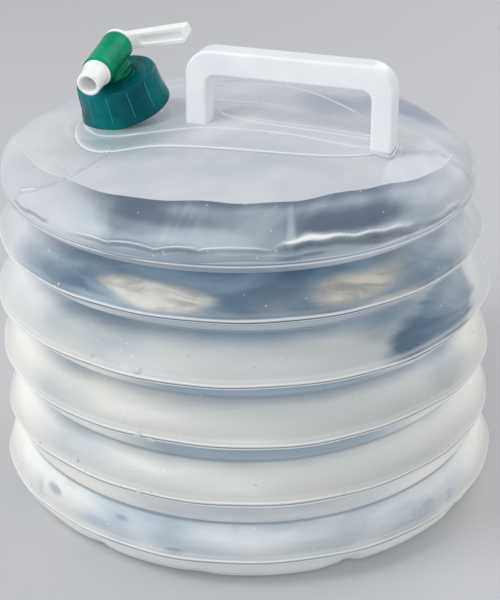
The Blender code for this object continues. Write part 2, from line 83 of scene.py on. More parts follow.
def addCamera():
    turn, down = math.radians(camera["turn"]), math.radians(camera["down"])
    away = Vector((math.sin(turn) * math.cos(down), -math.cos(turn) * math.cos(down), math.sin(down)))
    lens = bpy.data.cameras.new("viewCamera")
    lens.lens = camera["lens"]
    lens.shift_x = camera["shiftX"]
    lens.shift_y = camera["shiftY"]
    place = Vector(camera["target"]) + away * camera["distance"]
    bpy.context.scene.camera = addObject("viewCamera", lens, place, away)


addCamera()


class Tone:
    # a shader socket that can be used in sums
    def __init__(self, owner, socket):
        self.owner = owner
        self.socket = socket

    def math(self, how, *values):
        return self.owner.node("ShaderNodeMath", {"operation": how}, dict(enumerate(values)))

    def __add__(self, other):
        return self.math("ADD", self, other)

    def __radd__(self, other):
        return self.math("ADD", other, self)

    def __sub__(self, other):
        return self.math("SUBTRACT", self, other)

    def __rsub__(self, other):
        return self.math("SUBTRACT", other, self)

    def __mul__(self, other):
        return self.math("MULTIPLY", self, other)

    def __rmul__(self, other):
        return self.math("MULTIPLY", other, self)

    def __truediv__(self, other):
        return self.math("DIVIDE", self, other)

    def size(self):
        return self.math("ABSOLUTE", self)

    def ramp(self, low, high):
        # soft step from 0 to 1 between two values
        return self.owner.node("ShaderNodeMapRange", {"interpolation_type": "SMOOTHSTEP"},
                               {"Value": self, 1: low, 2: high})

    def line(self, half):
        # a thin line where the value passes zero
        return (1 - self.size() / half).ramp(0.0, 1.0)


class Nodes:
    # a node tree under construction
    def node(self, kind, settings, values, output=0):
        made = self.tree.nodes.new(kind)
        for key, value in settings.items():
            setattr(made, key, value)
        for key, value in values.items():
            self.feed(made.inputs[key], value)
        return Tone(self, made.outputs[output])

    def feed(self, socket, value):
        if isinstance(value, Tone):
            self.tree.links.new(value.socket, socket)
        else:
            socket.default_value = value


class Growth(Nodes):
    # Geometry Nodes with named sizes, which end in plain mesh
    def __init__(self, name, sizes):
        self.tree = bpy.data.node_groups.new(name, "GeometryNodeTree")
        self.sizes = sizes
        face = self.tree.interface
        face.new_socket("Geometry", in_out="INPUT", socket_type="NodeSocketGeometry")
        for key, value in sizes.items():
            kind = "NodeSocketInt" if isinstance(value, int) else "NodeSocketFloat"
            face.new_socket(key, in_out="INPUT", socket_type=kind)
        face.new_socket("Geometry", in_out="OUTPUT", socket_type="NodeSocketGeometry")
        self.source = self.tree.nodes.new("NodeGroupInput")

    def size(self, key):
        return Tone(self, self.source.outputs[key])

    def close(self, geometry, material):
        made = self.node("GeometryNodeRealizeInstances", {}, {0: geometry})
        made = self.node("GeometryNodeSetMaterial", {}, {"Geometry": made, "Material": material})
        self.tree.links.new(made.socket, self.tree.nodes.new("NodeGroupOutput").inputs[0])

    def grow(self, piece):
        step = piece.modifiers.new(self.tree.name, "NODES")
        step.node_group = self.tree
        for item in self.tree.interface.items_tree:
            if item.in_out == "INPUT" and item.name in self.sizes:
                step[item.identifier] = self.sizes[item.name]
        return bake(piece)


class Finish(Nodes):
    # one procedural material under construction, with named colours from 0 to 255
    def __init__(self, name, **tones):
        self.material = bpy.data.materials.new(name)
        self.material.use_nodes = True
        self.tree = self.material.node_tree
        self.shader = self.tree.nodes["Principled BSDF"]
        self.place = Tone(self, self.tree.nodes.new("ShaderNodeTexCoord").outputs["Object"])
        self.tones = {key: colour(*tone) for key, tone in tones.items()}

    def vector(self, how, *values):
        return self.node("ShaderNodeVectorMath", {"operation": how}, dict(enumerate(values)), "Value")

    def along(self, direction):
        # distance of the surface point along a direction
        return self.vector("DOT_PRODUCT", self.place, direction)

    def apart(self, point):
        # distance to a point
        return self.vector("DISTANCE", self.place, point)

    def length(self, first, second):
        return self.vector("LENGTH", self.node("ShaderNodeCombineXYZ", {}, {"X": first, "Y": second}))

    def noise(self, scale, detail=2.0, roughness=0.5, factors=(1, 1, 1), distortion=0.0, turn=0.0):
        place = self.node("ShaderNodeMapping", {}, {"Vector": self.place, "Scale": factors,
                                                    "Rotation": (0, 0, turn)})
        return self.node("ShaderNodeTexNoise", {}, {"Vector": place, "Scale": scale, "Detail": detail,
                                                    "Roughness": roughness, "Distortion": distortion})

    def spots(self, scale):
        return self.node("ShaderNodeTexVoronoi", {}, {"Vector": self.place, "Scale": scale})

    def mark(self, name):
        return self.node("ShaderNodeAttribute", {"attribute_name": name}, {}, "Fac")

    def facing(self, blend):
        return self.node("ShaderNodeLayerWeight", {}, {"Blend": blend}, "Facing")

    def blend(self, share, first, second):
        # colours are given by name or as sockets
        first, second = (self.tones[tone] if isinstance(tone, str) else tone for tone in (first, second))
        return self.node("ShaderNodeMix", {"data_type": "RGBA"}, {0: share, 6: first, 7: second}, 2)

    def over(self, share, tone):
        # one more colour on the body, as strong as the share
        self.body = self.blend(share, self.body, tone)

    def bump(self, height, strength, distance):
        return self.node("ShaderNodeBump", {}, {"Strength": strength, "Distance": distance, "Height": height})

    def paint(self, **values):
        for key, value in dict(values, Base_Color=self.body).items():
            self.feed(self.shader.inputs[key.replace("_", " ")], value)
        return self.material


def colour(red, capReflection, blue):
    # screen values from 0 to 255 as a linear colour
    light = (((c / 255 + 0.055) / 1.055) ** 2.4 if c > 10 else c / 255 / 12.92 for c in (red, capReflection, blue))
    return tuple(light) + (1.0,)


# sizes that the film's pieces share, with the solids' outline, and how much the film glows as painted light
bag = dict(radius=0.15, creaseRadius=0.112, creaseSwell=0.0072, baseSwell=0.003, topInset=0.004,
           pitch=0.0375, pleats=5, power=1.35, gap=0.0003, rim=0.006, edgeInset=0.014, flatWidth=0.026,
           floorRaise=0.003, raiseSlope=0.008, wall=0.0007, glow=0.26, domeGlow=0.08)
shoulder = dict(radius=0.1425, crestRise=0.0125, rise=0.031, power=2.5, around=350)
viewTurn = math.radians(camera["turn"])
look = dict(right=(math.cos(viewTurn), math.sin(viewTurn), 0.0),
            front=(math.sin(viewTurn), -math.cos(viewTurn), 0.0), degrees=90 - camera["turn"])


def smooth(value, low, high):
    share = np.clip((value - low) / (high - low), 0, 1)
    return share * share * (3 - 2 * share)


def hill(value, centre, width):
    return np.exp(-((value - centre) / width) ** 2)


def newPiece(name, points, faces, material):
    mesh = bpy.data.meshes.new(name)
    mesh.from_pydata([tuple(point) for point in points], [], faces)
    mesh.validate()
    mesh.shade_smooth()
    piece = bpy.data.objects.new(name, mesh)
    bpy.context.collection.objects.link(piece)
    if material is not None:
        mesh.materials.append(material)
    return piece


def bake(piece):
    # turn the modifiers into plain mesh
    shape = bpy.data.meshes.new_from_object(piece.evaluated_get(bpy.context.evaluated_depsgraph_get()))
    piece.modifiers.clear()
    piece.data = shape
    return piece


def alter(piece, kind, **settings):
    # one modifier, turned to plain mesh
    step = piece.modifiers.new("step", kind)
    for key, value in settings.items():
        setattr(step, key, value)
    return bake(piece)


def thicken(piece):
    return alter(piece, "SOLIDIFY", thickness=bag["wall"], offset=-1)


def ringFaces(rings, around):
    return [(i * around + j, i * around + (j + 1) % around, (i + 1) * around + (j + 1) % around,
             (i + 1) * around + j) for i in range(rings - 1) for j in range(around)]


def addMark(piece, name, values):
    mark = piece.data.attributes.new(name, "FLOAT", "POINT")
    mark.data.foreach_set("value", np.asarray(values, dtype=float).ravel())


# per pleat from the floor up: how much water shows through the film, how strong the painted shade under the
# lip above (lip) and below the pleat's own lip (under) and the painted highlight over its lip (edge), and the
# film's own colours there, with the colour of its painted sheen
pleatWater = (dict(level=0.13, spread=0.9, lip=0.16, under=0.15, edge=0.45, pale=(213, 213, 208),
                   dull=(200, 207, 212), limbSheen=(230, 229, 225)),
              dict(level=0.06, spread=0.3, lip=0.26, under=0.35, edge=0.45, pale=(208, 210, 207),
                   dull=(204, 206, 205), limbSheen=(230, 229, 225)),
              dict(level=0.06, spread=0.28, lip=0.4, under=0.8, edge=0.45, pale=(206, 207, 203),
                   dull=(204, 206, 205), limbSheen=(230, 229, 225)),
              dict(level=0.14, spread=0.45, lip=0.36, under=0.8, edge=0.45, pale=(206, 205, 198),
                   dull=(200, 207, 212), limbSheen=(228, 229, 229)),
              dict(level=0.84, spread=0.6, lip=0.45, under=0.5, edge=0.12, pale=(216, 209, 194),
                   dull=(200, 207, 212), limbSheen=(228, 229, 229)))
# soft patches on the front: to the right, height, half width, half height, more or less blue
water = dict(
    patches=((-0.05, 0.1745, 0.034, 0.007, -1.0), (0.06, 0.177, 0.028, 0.0065, -0.75),
        (0.078, 0.169, 0.024, 0.0035, -0.5), (0.116, 0.179, 0.026, 0.015, 0.45),
        (0.094, 0.1345, 0.022, 0.0075, 0.7), (0.108, 0.1385, 0.025, 0.012, 0.75),
        (0.119, 0.141, 0.021, 0.0135, 0.72), (0.08, 0.145, 0.028, 0.006, 0.36),
        (-0.082, 0.142, 0.034, 0.012, 0.27), (-0.112, 0.145, 0.022, 0.01, 0.2),
        (-0.1, 0.066, 0.034, 0.012, 0.25), (0.12, 0.105, 0.02, 0.014, 0.32),
        (-0.105, 0.102, 0.03, 0.016, 0.25)),
    dome=((0.054, 0.2155, 0.042, 0.0055, 0.5), (0.024, 0.213, 0.003, 0.009, -0.3),
        (-0.022, 0.2105, 0.034, 0.005, -0.35), (-0.05, 0.2165, 0.04, 0.0035, 0.25),
        (-0.09, 0.208, 0.018, 0.01, -0.5)),
    blots=((-0.1145, 0.029, 0.0055, 0.003, 1.0), (-0.072, 0.0312, 0.006, 0.002, 0.7),
        (-0.041, 0.0215, 0.008, 0.0022, 0.8), (-0.088, 0.025, 0.016, 0.004, 0.35),
        (0.108, 0.027, 0.006, 0.003, 0.4)))
# the film's colours: edge, lip and light are painted highlights, strip, shade and crease painted shade, black
# the dark end of the painted glow
pleatTones = dict(
    deep=(88, 112, 134), clear=(136, 158, 174), sand=(168, 168, 164), blot=(118, 136, 162),
    bubble=(238, 240, 242), edge=(226, 227, 224), strip=(100, 132, 158), shade=(60, 76, 92),
    lip=(246, 247, 247), light=(238, 241, 243), crease=(112, 140, 168), black=(0, 0, 0))
# painted highlight and painted shade lines along a pleat's lip: place and half width, as shares of the
# pleat's height
lipLines = dict(edge=(0.56, 0.045), lip=(0.5, 0.032), upper=(0.452, 0.016), light=(0.428, 0.018),
                lower=(0.404, 0.012))


def patchShares(film, across, height, front, noise, patches):
    # the sum of the soft patches
    total = 0.0
    for x, z, halfX, halfZ, amount in patches:
        away = film.length((across - x) / halfX, (height - z) / halfZ) + (noise - 0.5) * 0.8
        total = away.ramp(1.15, 0.25) * amount + total
    return total * front


def pleatFinish(index):
    # translucent film: milky where it is dry or thick, clear and blue where water stands behind it
    own = pleatWater[index]
    tones = {key: own[key] for key in ("pale", "dull", "limbSheen")}
    film = Finish("filmPleat%d" % (index + 1), **tones, **pleatTones)
    across, height = film.along(look["right"]), film.along((0.0, 0.0, 1.0))
    front = film.along(look["front"]).ramp(-0.02, 0.03)
    share = film.mark("share")
    line = {key: (share - at).line(half) for key, (at, half) in lipLines.items()}
    cloud = film.noise(7.5, 3.0, 0.5, (1.0, 1.0, 3.0), 0.6, viewTurn)
    streak = film.noise(17.0, 3.0, 0.55, (0.55, 0.55, 3.6), 1.3, viewTurn)
    ragged = film.noise(42.0, 4.0, 0.6, (0.4, 0.4, 2.4), 1.6, viewTurn)
    fine = film.noise(60.0, 3.0, 0.6, (1.0, 1.0, 2.2), 0.8)
    patch = patchShares(film, across, height, front, streak + (ragged - 0.5) * 0.45, water["patches"])
    # painted shade: bluer under the lip of the pleat above
    blue = (cloud - 0.5) * (2.2 * own["spread"]) + own["level"] + share.ramp(0.84, 0.99) * own["lip"] + patch
    blue = (blue + (streak - 0.5) * 0.5 + (ragged - 0.5) * 0.3).ramp(0.1, 0.95)
    pale = film.blend(cloud.ramp(0.35, 0.68), "pale", "dull")
    if index == bag["pleats"] - 1:
        pale = film.blend((ragged + fine * 0.4).ramp(0.85, 0.55), pale, "sand")
    film.body = film.blend(blue, pale, film.blend(streak.ramp(0.35, 0.68), "deep", "clear"))
    if index == 0:
        blots = film.noise(34.0, 2.0, 0.5, (1.0, 1.0, 1.5), 0.8).ramp(0.58, 0.72) * 0.5
        blots = blots + patchShares(film, across, height, front, ragged, water["blots"])
        film.over(blots.ramp(0.0, 1.0) * 0.75, "blot")
    film.over(film.spots(95.0).ramp(0.075, 0.035) * 0.5, "bubble")
    # painted sheen: the film turns whiter where it faces away from view, less over the water patches
    film.over(film.facing(0.5).ramp(0.3, 0.6) * (0.82 - patch.ramp(0.15, 0.65) * 0.55), "limbSheen")
    # painted highlight in a band over the lip
    film.over(line["edge"] * own["edge"], "edge")
    # painted shade in a band below the lip, on the front
    strip = share.ramp(0.425, 0.395) * (across - 0.01).size().ramp(0.1, 0.05) * front
    film.over(strip * (streak * 0.7 + 0.55) * own["under"], "strip")
    # painted shade lines along the lip, then the painted highlight on the lip and a painted highlight line
    # below it
    film.over(line["upper"] * (0.55 + 0.1 * index) + line["lower"] * (0.2 + 0.12 * index), "shade")
    film.over(line["lip"] * 0.9, "lip")
    film.over(line["light"] * 0.65, "light")
    # painted shade at the creases above and below the pleat
    film.over((share.ramp(0.97, 1.0) + share.ramp(0.05, 0.0)) * 0.45, "crease")
    # painted light: the film glows everywhere, most towards the crease above and below its lip, standing in
    # for light that the water carries into the creases
    glow = share.ramp(0.58, 0.92) * 0.8 + share.ramp(0.48, 0.4) * 0.6 + 0.2
    wave = film.bump((fine * 0.18 + streak * 0.8) * share.ramp(0.38, 0.5), 0.14, 0.0016)
    return film.paint(Roughness=fine * 0.16 + 0.27, Alpha=0.9, Normal=wave, IOR=1.45, Coat_Weight=0.08,
                      Coat_Roughness=0.12, Specular_IOR_Level=0.38,
                      Emission_Color=film.blend(glow, "black", film.body), Emission_Strength=bag["glow"])


def sway(angle, height):
    # slow unevenness of the whole bag, the same for pieces that meet
    out = 0.0008 * np.sin(2 * angle + 0.7 + 9 * height) + 0.0006 * np.sin(3 * angle - 1.1 + 21 * height)
    out += 0.0004 * np.sin(5 * angle + 2.0 - 13 * height)
    up = 0.0008 * np.sin(angle + 0.4) + 0.0005 * np.sin(3 * angle + 17 * height)
    return out, up * smooth(height, 0.004, 0.03)


def placeRings(radius, height, angle):
    # rings of radius and height on all angles, with the bag's sway and lean
    out, up = sway(angle, height)
    reach = smooth(radius, 0.08, 0.135)
    r = radius + out * reach
    z = height + up * smooth(radius, 0.113, 0.138)
    lean = (0.0026 - 0.0072 * height / 0.2) * reach
    x = r * np.cos(angle) + lean * look["right"][0]
    y = r * np.sin(angle) + lean * look["right"][1]
    return np.stack([x, y, z], axis=-1)


def fullRings(radii, heights, around):
    angle = np.linspace(0, math.tau, around, endpoint=False)
    shape = np.ones((len(radii), around))
    radii, heights = (np.asarray(values, float)[:, None] * shape for values in (radii, heights))
    return radii, heights, angle * shape


def fromFront(angle):
    # degrees round the bag from the side that the photo shows, to the right
    return (np.degrees(angle) + look["degrees"] + 180) % 360 - 180


def turnsAway(turn, at):
    return (turn - at + 180) % 360 - 180


def creaseRadius(level):
    return bag["creaseRadius"] + bag["creaseSwell"] * (bag["pleats"] - level)


def pleatRadius(share, low, high, crest):
    crease = low + (high - low) * share
    swell = (1 - np.abs(2 * share - 1) ** bag["power"]) ** (1 / bag["power"])
    return crease + (crest - crease) * swell


def baseRadius(share):
    crest = bag["radius"] + bag["baseSwell"]
    return pleatRadius(share, crest - bag["edgeInset"], creaseRadius(1), crest)


# puckers of the base's rim: degrees from the front, depth, half width in degrees
puckers = ((24, 0.004, 2.2), (20, 0.0016, 3.0), (-38, 0.002, 3.2), (-12, 0.0012, 4.0), (58, 0.0022, 3.0),
           (95, 0.0028, 3.0), (141, 0.0022, 2.4), (180, 0.0018, 4.0), (-150, 0.003, 2.6),
           (-104, 0.002, 3.4), (-72, 0.0024, 3.0))


def puckerDepth(turn, height):
    depth = np.zeros(turn.shape)
    for at, deep, half in puckers:
        depth += deep * hill(turnsAway(turn, at), 0, half)
    return depth * (1 - smooth(height, 0.004, 0.017))


# rows of a pleat from crease to lip to crease, and beads along its lip: share of the height, width, how proud
pleat = dict(flat=0.007, bodies=("base", "fold_2", "fold_3", "fold_4", "fold_5"), around=320,
             lip=(0.36, 0.56), rows=(15, 27, 21),
             beads=((0.5, 0.02, 0.0005), (0.455, 0.012, -0.0003), (0.428, 0.012, 0.0002)))
# drops of water on the film: on a pleat (pleat, degrees from the front, share of its height, size), on the
# dome (x, y, size), on its wall (degrees from the front, height, size), then fine ones at random
drops = dict(
    pleats=((3, -22.9, 0.565, 0.0027), (3, -34.7, 0.61, 0.0013), (3, -31.0, 0.6, 0.0009),
        (2, -23.6, 0.505, 0.0021), (2, -20.7, 0.435, 0.0025), (1, -24.2, 0.505, 0.0021),
        (1, -41.8, 0.62, 0.0014), (0, 43.0, 0.66, 0.0016), (0, -33.0, 0.7, 0.001),
        (4, -44.0, 0.56, 0.0013), (2, -47.0, 0.55, 0.0012), (1, -55.0, 0.55, 0.0013)),
    dome=((-0.043, -0.073, 0.0015), (-0.041, -0.0715, 0.0009), (-0.034, -0.0635, 0.0012),
        (-0.006, -0.062, 0.0014), (-0.003, -0.0635, 0.0009), (-0.017, -0.09, 0.0009),
        (0.019, -0.093, 0.0008), (0.034, -0.106, 0.001), (-0.06, -0.088, 0.0009),
        (0.07, -0.075, 0.0007), (-0.072, -0.085, 0.001)),
    wall=((-18.1, 0.2036, 0.001), (-8.2, 0.2058, 0.0008), (6.4, 0.2067, 0.0011),
        (-17.6, 0.2022, 0.0007)), fine=12, small=0.0004, large=0.0008, thick=0.32, narrow=0.85, seed=7)
luck = np.random.default_rng(drops["seed"])


def dropFinish():
    drop = Finish("waterDrops", dark=(215, 222, 228), light=(244, 246, 247))
    drop.body = drop.blend(drop.noise(300.0).ramp(0.3, 0.7), "dark", "light")
    return drop.paint(Roughness=0.06, IOR=1.33, Alpha=0.45, Coat_Weight=0.6, Coat_Roughness=0.02)


def dropPiece(name, spots):
    # spots: place, direction outwards, size
    places, outs, sizes = zip(*spots)
    growth = Growth(name + "Nodes", dict(thick=drops["thick"], narrow=drops["narrow"]))
    size = growth.node("GeometryNodeInputNamedAttribute", {"data_type": "FLOAT"}, {"Name": "size"})
    out = growth.node("GeometryNodeInputNamedAttribute", {"data_type": "FLOAT_VECTOR"}, {"Name": "out"})
    ball = growth.node("GeometryNodeMeshIcoSphere", {}, {"Radius": 1.0, "Subdivisions": 2})
    ball = growth.node("GeometryNodeSetShadeSmooth", {}, {"Geometry": ball})
    turn = growth.node("FunctionNodeAlignRotationToVector", {"axis": "Z"}, {"Vector": out})
    scale = growth.node("ShaderNodeCombineXYZ", {}, {"X": size, "Y": size * growth.size("narrow"),
                                                     "Z": size * growth.size("thick")})
    beads = growth.node("GeometryNodeInstanceOnPoints", {},
                        {"Points": growth.size("Geometry"), "Instance": ball, "Rotation": turn,
                         "Scale": scale})
    growth.close(beads, waterDrops)
    host = newPiece(name, places, [], None)
    addMark(host, "size", sizes)
    mark = host.data.attributes.new("out", "FLOAT_VECTOR", "POINT")
    mark.data.foreach_set("vector", np.array(outs, dtype=float).ravel())
    return growth.grow(host)


waterDrops = dropFinish()


def pleatDrops(index, line):
    # line gives the radius at a share of the pleat's height
    spots = [spot[1:] for spot in drops["pleats"] if spot[0] == index]
    for _ in range(drops["fine"]):
        turn, share = luck.uniform(-110, 110), luck.uniform(0.5, 0.8)
        spots.append((turn, share, luck.uniform(drops["small"], drops["large"])))
    turns, shares, sizes = (np.array(values) for values in zip(*spots))
    angle = np.radians(turns - look["degrees"])
    height = bag["pitch"] * (index + shares)
    slope = np.arctan2(line(shares) - line(shares + 0.02), 0.02 * bag["pitch"])
    place = placeRings(line(shares) + 0.0003, height, angle)
    outs = np.stack([np.cos(angle) * np.cos(slope), np.sin(angle) * np.cos(slope), np.sin(slope)], -1)
    return dropPiece("pleatDrops%d" % (index + 1), zip(place, outs, sizes))


def pleatPiece(index, material):
    low = bag["pitch"] * index
    high = low + bag["pitch"]
    start = bag["rim"] + bag["gap"] if index == 0 else low + bag["gap"] / 2
    end = high - bag["gap"] / 2
    first, last = (start - low) / bag["pitch"], (end - low) / bag["pitch"]
    ends = (first, *pleat["lip"], last)
    share = np.concatenate([np.linspace(here, there, rows)[:-1]
                            for here, there, rows in zip(ends, ends[1:], pleat["rows"])] + [[last]])
    crest = bag["radius"] - (bag["topInset"] if index == bag["pleats"] - 1 else 0)

    def line(part):
        if index == 0:
            return baseRadius(part)
        return pleatRadius(part, creaseRadius(index), creaseRadius(index + 1), crest)

    radius, height, angle = fullRings(line(share), low + share * bag["pitch"], pleat["around"])
    t = share[:, None] * np.ones(angle.shape)
    middle = smooth(t, 0.05, 0.25) * (1 - smooth(t, 0.75, 0.95))
    for at, width, proud in pleat["beads"]:
        radius += proud * hill(t, at, width)
    radius += middle * 0.0007 * np.sin(7 * angle + 3 * index) * np.sin(5 * t + index)
    radius += middle * 0.0003 * np.sin(17 * angle + 5 * index + 6 * t)
    if index == 0:
        radius -= puckerDepth(fromFront(angle), height)
    points = placeRings(radius, height, angle)
    piece = newPiece("bagPleat%d" % (index + 1), points.reshape(-1, 3), ringFaces(*angle.shape), material)
    addMark(piece, "share", t)
    thicken(piece)
    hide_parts("bag_fold_%d" % (index + 1))
    for part in (piece, pleatDrops(index, line)):
        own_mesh(part)
        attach(part, pleat["bodies"][index])


pleatFilms = [pleatFinish(index) for index in range(bag["pleats"])]
for index in range(bag["pleats"]):
    pleatPiece(index, pleatFilms[index])
print("pleats made")


def basePiece():
    edge = bag["radius"] + bag["baseSwell"] - bag["edgeInset"]
    contact = edge - bag["flatWidth"]
    r = [0.0015] + list(np.linspace(0.004, contact - bag["raiseSlope"], 24))
    z = [bag["floorRaise"]] * len(r)
    for share in np.linspace(0.1, 1.0, 8):
        r.append(contact - bag["raiseSlope"] * (1 - share))
        z.append(bag["floorRaise"] * (1 - smooth(share, 0, 1)))
    for share in np.linspace(0.12, 0.9, 8):
        r.append(contact + (edge - contact) * share)
        z.append(0.0)
    rise = np.concatenate([np.linspace(0.0, 0.0014, 5), np.linspace(0.0022, bag["rim"], 6)])
    r += list(baseRadius(rise / bag["pitch"]) - 0.0016 * (1 - rise / 0.0014).clip(0, 1) ** 2)
    z += list(rise)
    radius, height, angle = fullRings(r, z, pleat["around"])
    dimple = smooth(radius, 0.02, 0.06) * (1 - smooth(radius, contact - 0.012, contact))
    radius -= puckerDepth(fromFront(angle), height) * smooth(radius, contact, edge)
    points = placeRings(radius, height + dimple * 0.0007 * np.sin(5 * angle + 40 * radius), angle)
    points[..., 2] = np.maximum(points[..., 2], 0.0)
    points[:, :, 2][height == 0] = 0.0
    around = pleat["around"]
    flat = np.vstack([points.reshape(-1, 3), [[0, 0, bag["floorRaise"]]]])
    faces = ringFaces(*angle.shape) + [(len(flat) - 1, (j + 1) % around, j) for j in range(around)]
    piece = newPiece("bagBase", flat, faces, pleatFilms[0])
    addMark(piece, "share", np.append(height / bag["pitch"], 0.2))
    thicken(piece)
    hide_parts("bag_base")
    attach(piece, "base")


basePiece()
print("base made")

# outlines of the moulded terraces on the dome, seen from above
fitting = dict(
    outer=((-0.098, -0.022), (-0.0945, -0.037), (-0.0895, -0.049), (-0.082, -0.06), (-0.073, -0.068),
        (-0.061, -0.0705), (-0.05, -0.065), (-0.04, -0.0595), (-0.0277, -0.056), (-0.01, -0.0537),
        (0.0072, -0.0518), (0.03, -0.049), (0.048, -0.0458), (0.063, -0.0412), (0.077, -0.0335),
        (0.0885, -0.022), (0.0945, -0.012), (0.0945, -0.002), (0.088, 0.007), (0.078, 0.017),
        (0.066, 0.028), (0.05, 0.041), (0.032, 0.055), (0.01, 0.066), (-0.01, 0.0665), (-0.03, 0.061),
        (-0.05, 0.054), (-0.068, 0.043), (-0.086, 0.022), (-0.096, -0.002)),
    middle=((-0.0835, -0.044), (-0.073, -0.053), (-0.0595, -0.0515), (-0.0474, -0.0447),
        (-0.0371, -0.0388), (-0.027, -0.033), (-0.017, -0.0285), (-0.0045, -0.0259), (0.0118, -0.0242),
        (0.0282, -0.0232), (0.0434, -0.0237), (0.0588, -0.0252), (0.0765, -0.025), (0.087, -0.0205),
        (0.09, -0.01), (0.08, 0.0), (0.065, 0.006), (0.0508, 0.0065), (0.0362, 0.013),
        (0.0218, 0.0195), (0.0049, 0.0235), (-0.012, 0.0215), (-0.03, 0.022), (-0.056, 0.02),
        (-0.082, 0.006), (-0.092, -0.016), (-0.0905, -0.033)),
    ridge=((-0.0155, -0.015), (0.082, -0.015), (0.082, -0.006), (0.055, 0.004), (0.028, 0.013),
        (-0.0155, 0.015)),
    crown=((-0.014, -0.012), (0.08, -0.012), (0.078, -0.008), (0.05, -0.003), (0.02, 0.0),
        (-0.014, 0.002)), steps=dict(outer=0.0016, middle=0.0011, ridge=0.001, crown=0.0009),
    edge=0.003, seamProud=0.0007, seamWidth=0.0014,
    seams=(((-0.06, -0.0665), (-0.0625, -0.08), (-0.066, -0.0904), (-0.071, -0.099), (-0.08, -0.1045),
        (-0.09, -0.105), (-0.102, -0.1)), ((0.101, -0.014), (0.108, -0.008), (0.116, 0.005),
        (0.127, 0.002), (0.142, 0.004))))
neck = dict(x=-0.069, y=-0.018, tilt=17.8, heading=228.0, rise=0.005, height=0.0187, outer=0.0203,
            wall=0.0028, foot=0.0118, edge=0.0007, lift=0.0018, padRadius=0.032, padX=-0.072, padY=-0.022,
            padProud=0.0006)
# sharp folds in the shoulder's film: degrees from the front, height, half length, slope, how proud, width
crinkles = dict(
    folds=((35, 0.2058, 9, -0.0008, 0.0011, 0.0011), (14, 0.2046, 6, 0.001, 0.0013, 0.001),
        (54, 0.2052, 9, 0.0, 0.001, 0.0012), (-56, 0.2056, 9, 0.0008, 0.0009, 0.0012),
        (88, 0.206, 13, 0.0006, 0.0012, 0.0013), (132, 0.207, 16, -0.0008, 0.0012, 0.0013),
        (-160, 0.206, 14, 0.0004, 0.0013, 0.0013), (-112, 0.2064, 15, 0.0, 0.0011, 0.0013)),
    long=dict(turns=(7, 10, 15, 21, 27, 32, 38, 47),
        heights=(0.2072, 0.2096, 0.2106, 0.211, 0.2097, 0.2096, 0.2088, 0.2066),
        proud=0.0022, width=0.0016, hollow=0.0034),
    scallop=dict(turns=(-42, -30, -18.1, -8.2, 6.4), heights=(0.2024, 0.2034, 0.204, 0.2062, 0.207),
        rise=0.0017, proud=0.0009, width=0.0008, hollow=0.0022))


def domeHeight(x, y):
    share = np.minimum(np.hypot(x, y) / shoulder["radius"], 1)
    crest = bag["pitch"] * bag["pleats"] + shoulder["crestRise"]
    return crest + shoulder["rise"] * (1 - share ** shoulder["power"]) ** (1 / shoulder["power"])


def rounded(outline, times=3):
    # corner cutting turns the outline into a smooth loop
    points = np.array(outline, float)
    for _ in range(times):
        after = np.roll(points, -1, axis=0)
        points = np.stack([points * 0.75 + after * 0.25, points * 0.25 + after * 0.75], 1).reshape(-1, 2)
    return points


def strokeAway(path, x, y):
    # distance to an open line
    away = np.full(x.shape, 1e9)
    for (ax, ay), (bx, by) in zip(path, path[1:]):
        dx, dy = bx - ax, by - ay
        share = np.clip(((x - ax) * dx + (y - ay) * dy) / (dx * dx + dy * dy), 0, 1)
        away = np.minimum(away, np.hypot(x - ax - share * dx, y - ay - share * dy))
    return away


def insideBy(loop, x, y):
    # distance to a closed loop, positive inside
    path = list(loop) + [loop[0]]
    inside = np.zeros(x.shape, bool)
    for (ax, ay), (bx, by) in zip(path, path[1:]):
        run = by - ay if abs(by - ay) > 1e-12 else 1e-12
        inside ^= ((ay > y) != (by > y)) & (x < (bx - ax) * (y - ay) / run + ax)
    away = strokeAway(path, x, y)
    return np.where(inside, away, -away)


def neckFrame(lift=0.0):
    tilt, heading = math.radians(neck["tilt"]), math.radians(neck["heading"])
    along = Vector((math.sin(tilt) * math.cos(heading), math.sin(tilt) * math.sin(heading), math.cos(tilt)))
    back = Vector((0, 1, 0))
    back = (back - along * back.dot(along)).normalized()
    place = Matrix((back.cross(along), back, along)).transposed().to_4x4()
    low = float(domeHeight(neck["x"], neck["y"])) + neck["lift"] + neck["rise"]
    place.translation = Vector((neck["x"], neck["y"], low)) + along * lift
    return place


def pushOut(points, angle, amount):
    points[..., 0] += amount * np.cos(angle)
    points[..., 1] += amount * np.sin(angle)
    points[..., 2] += amount * 0.6


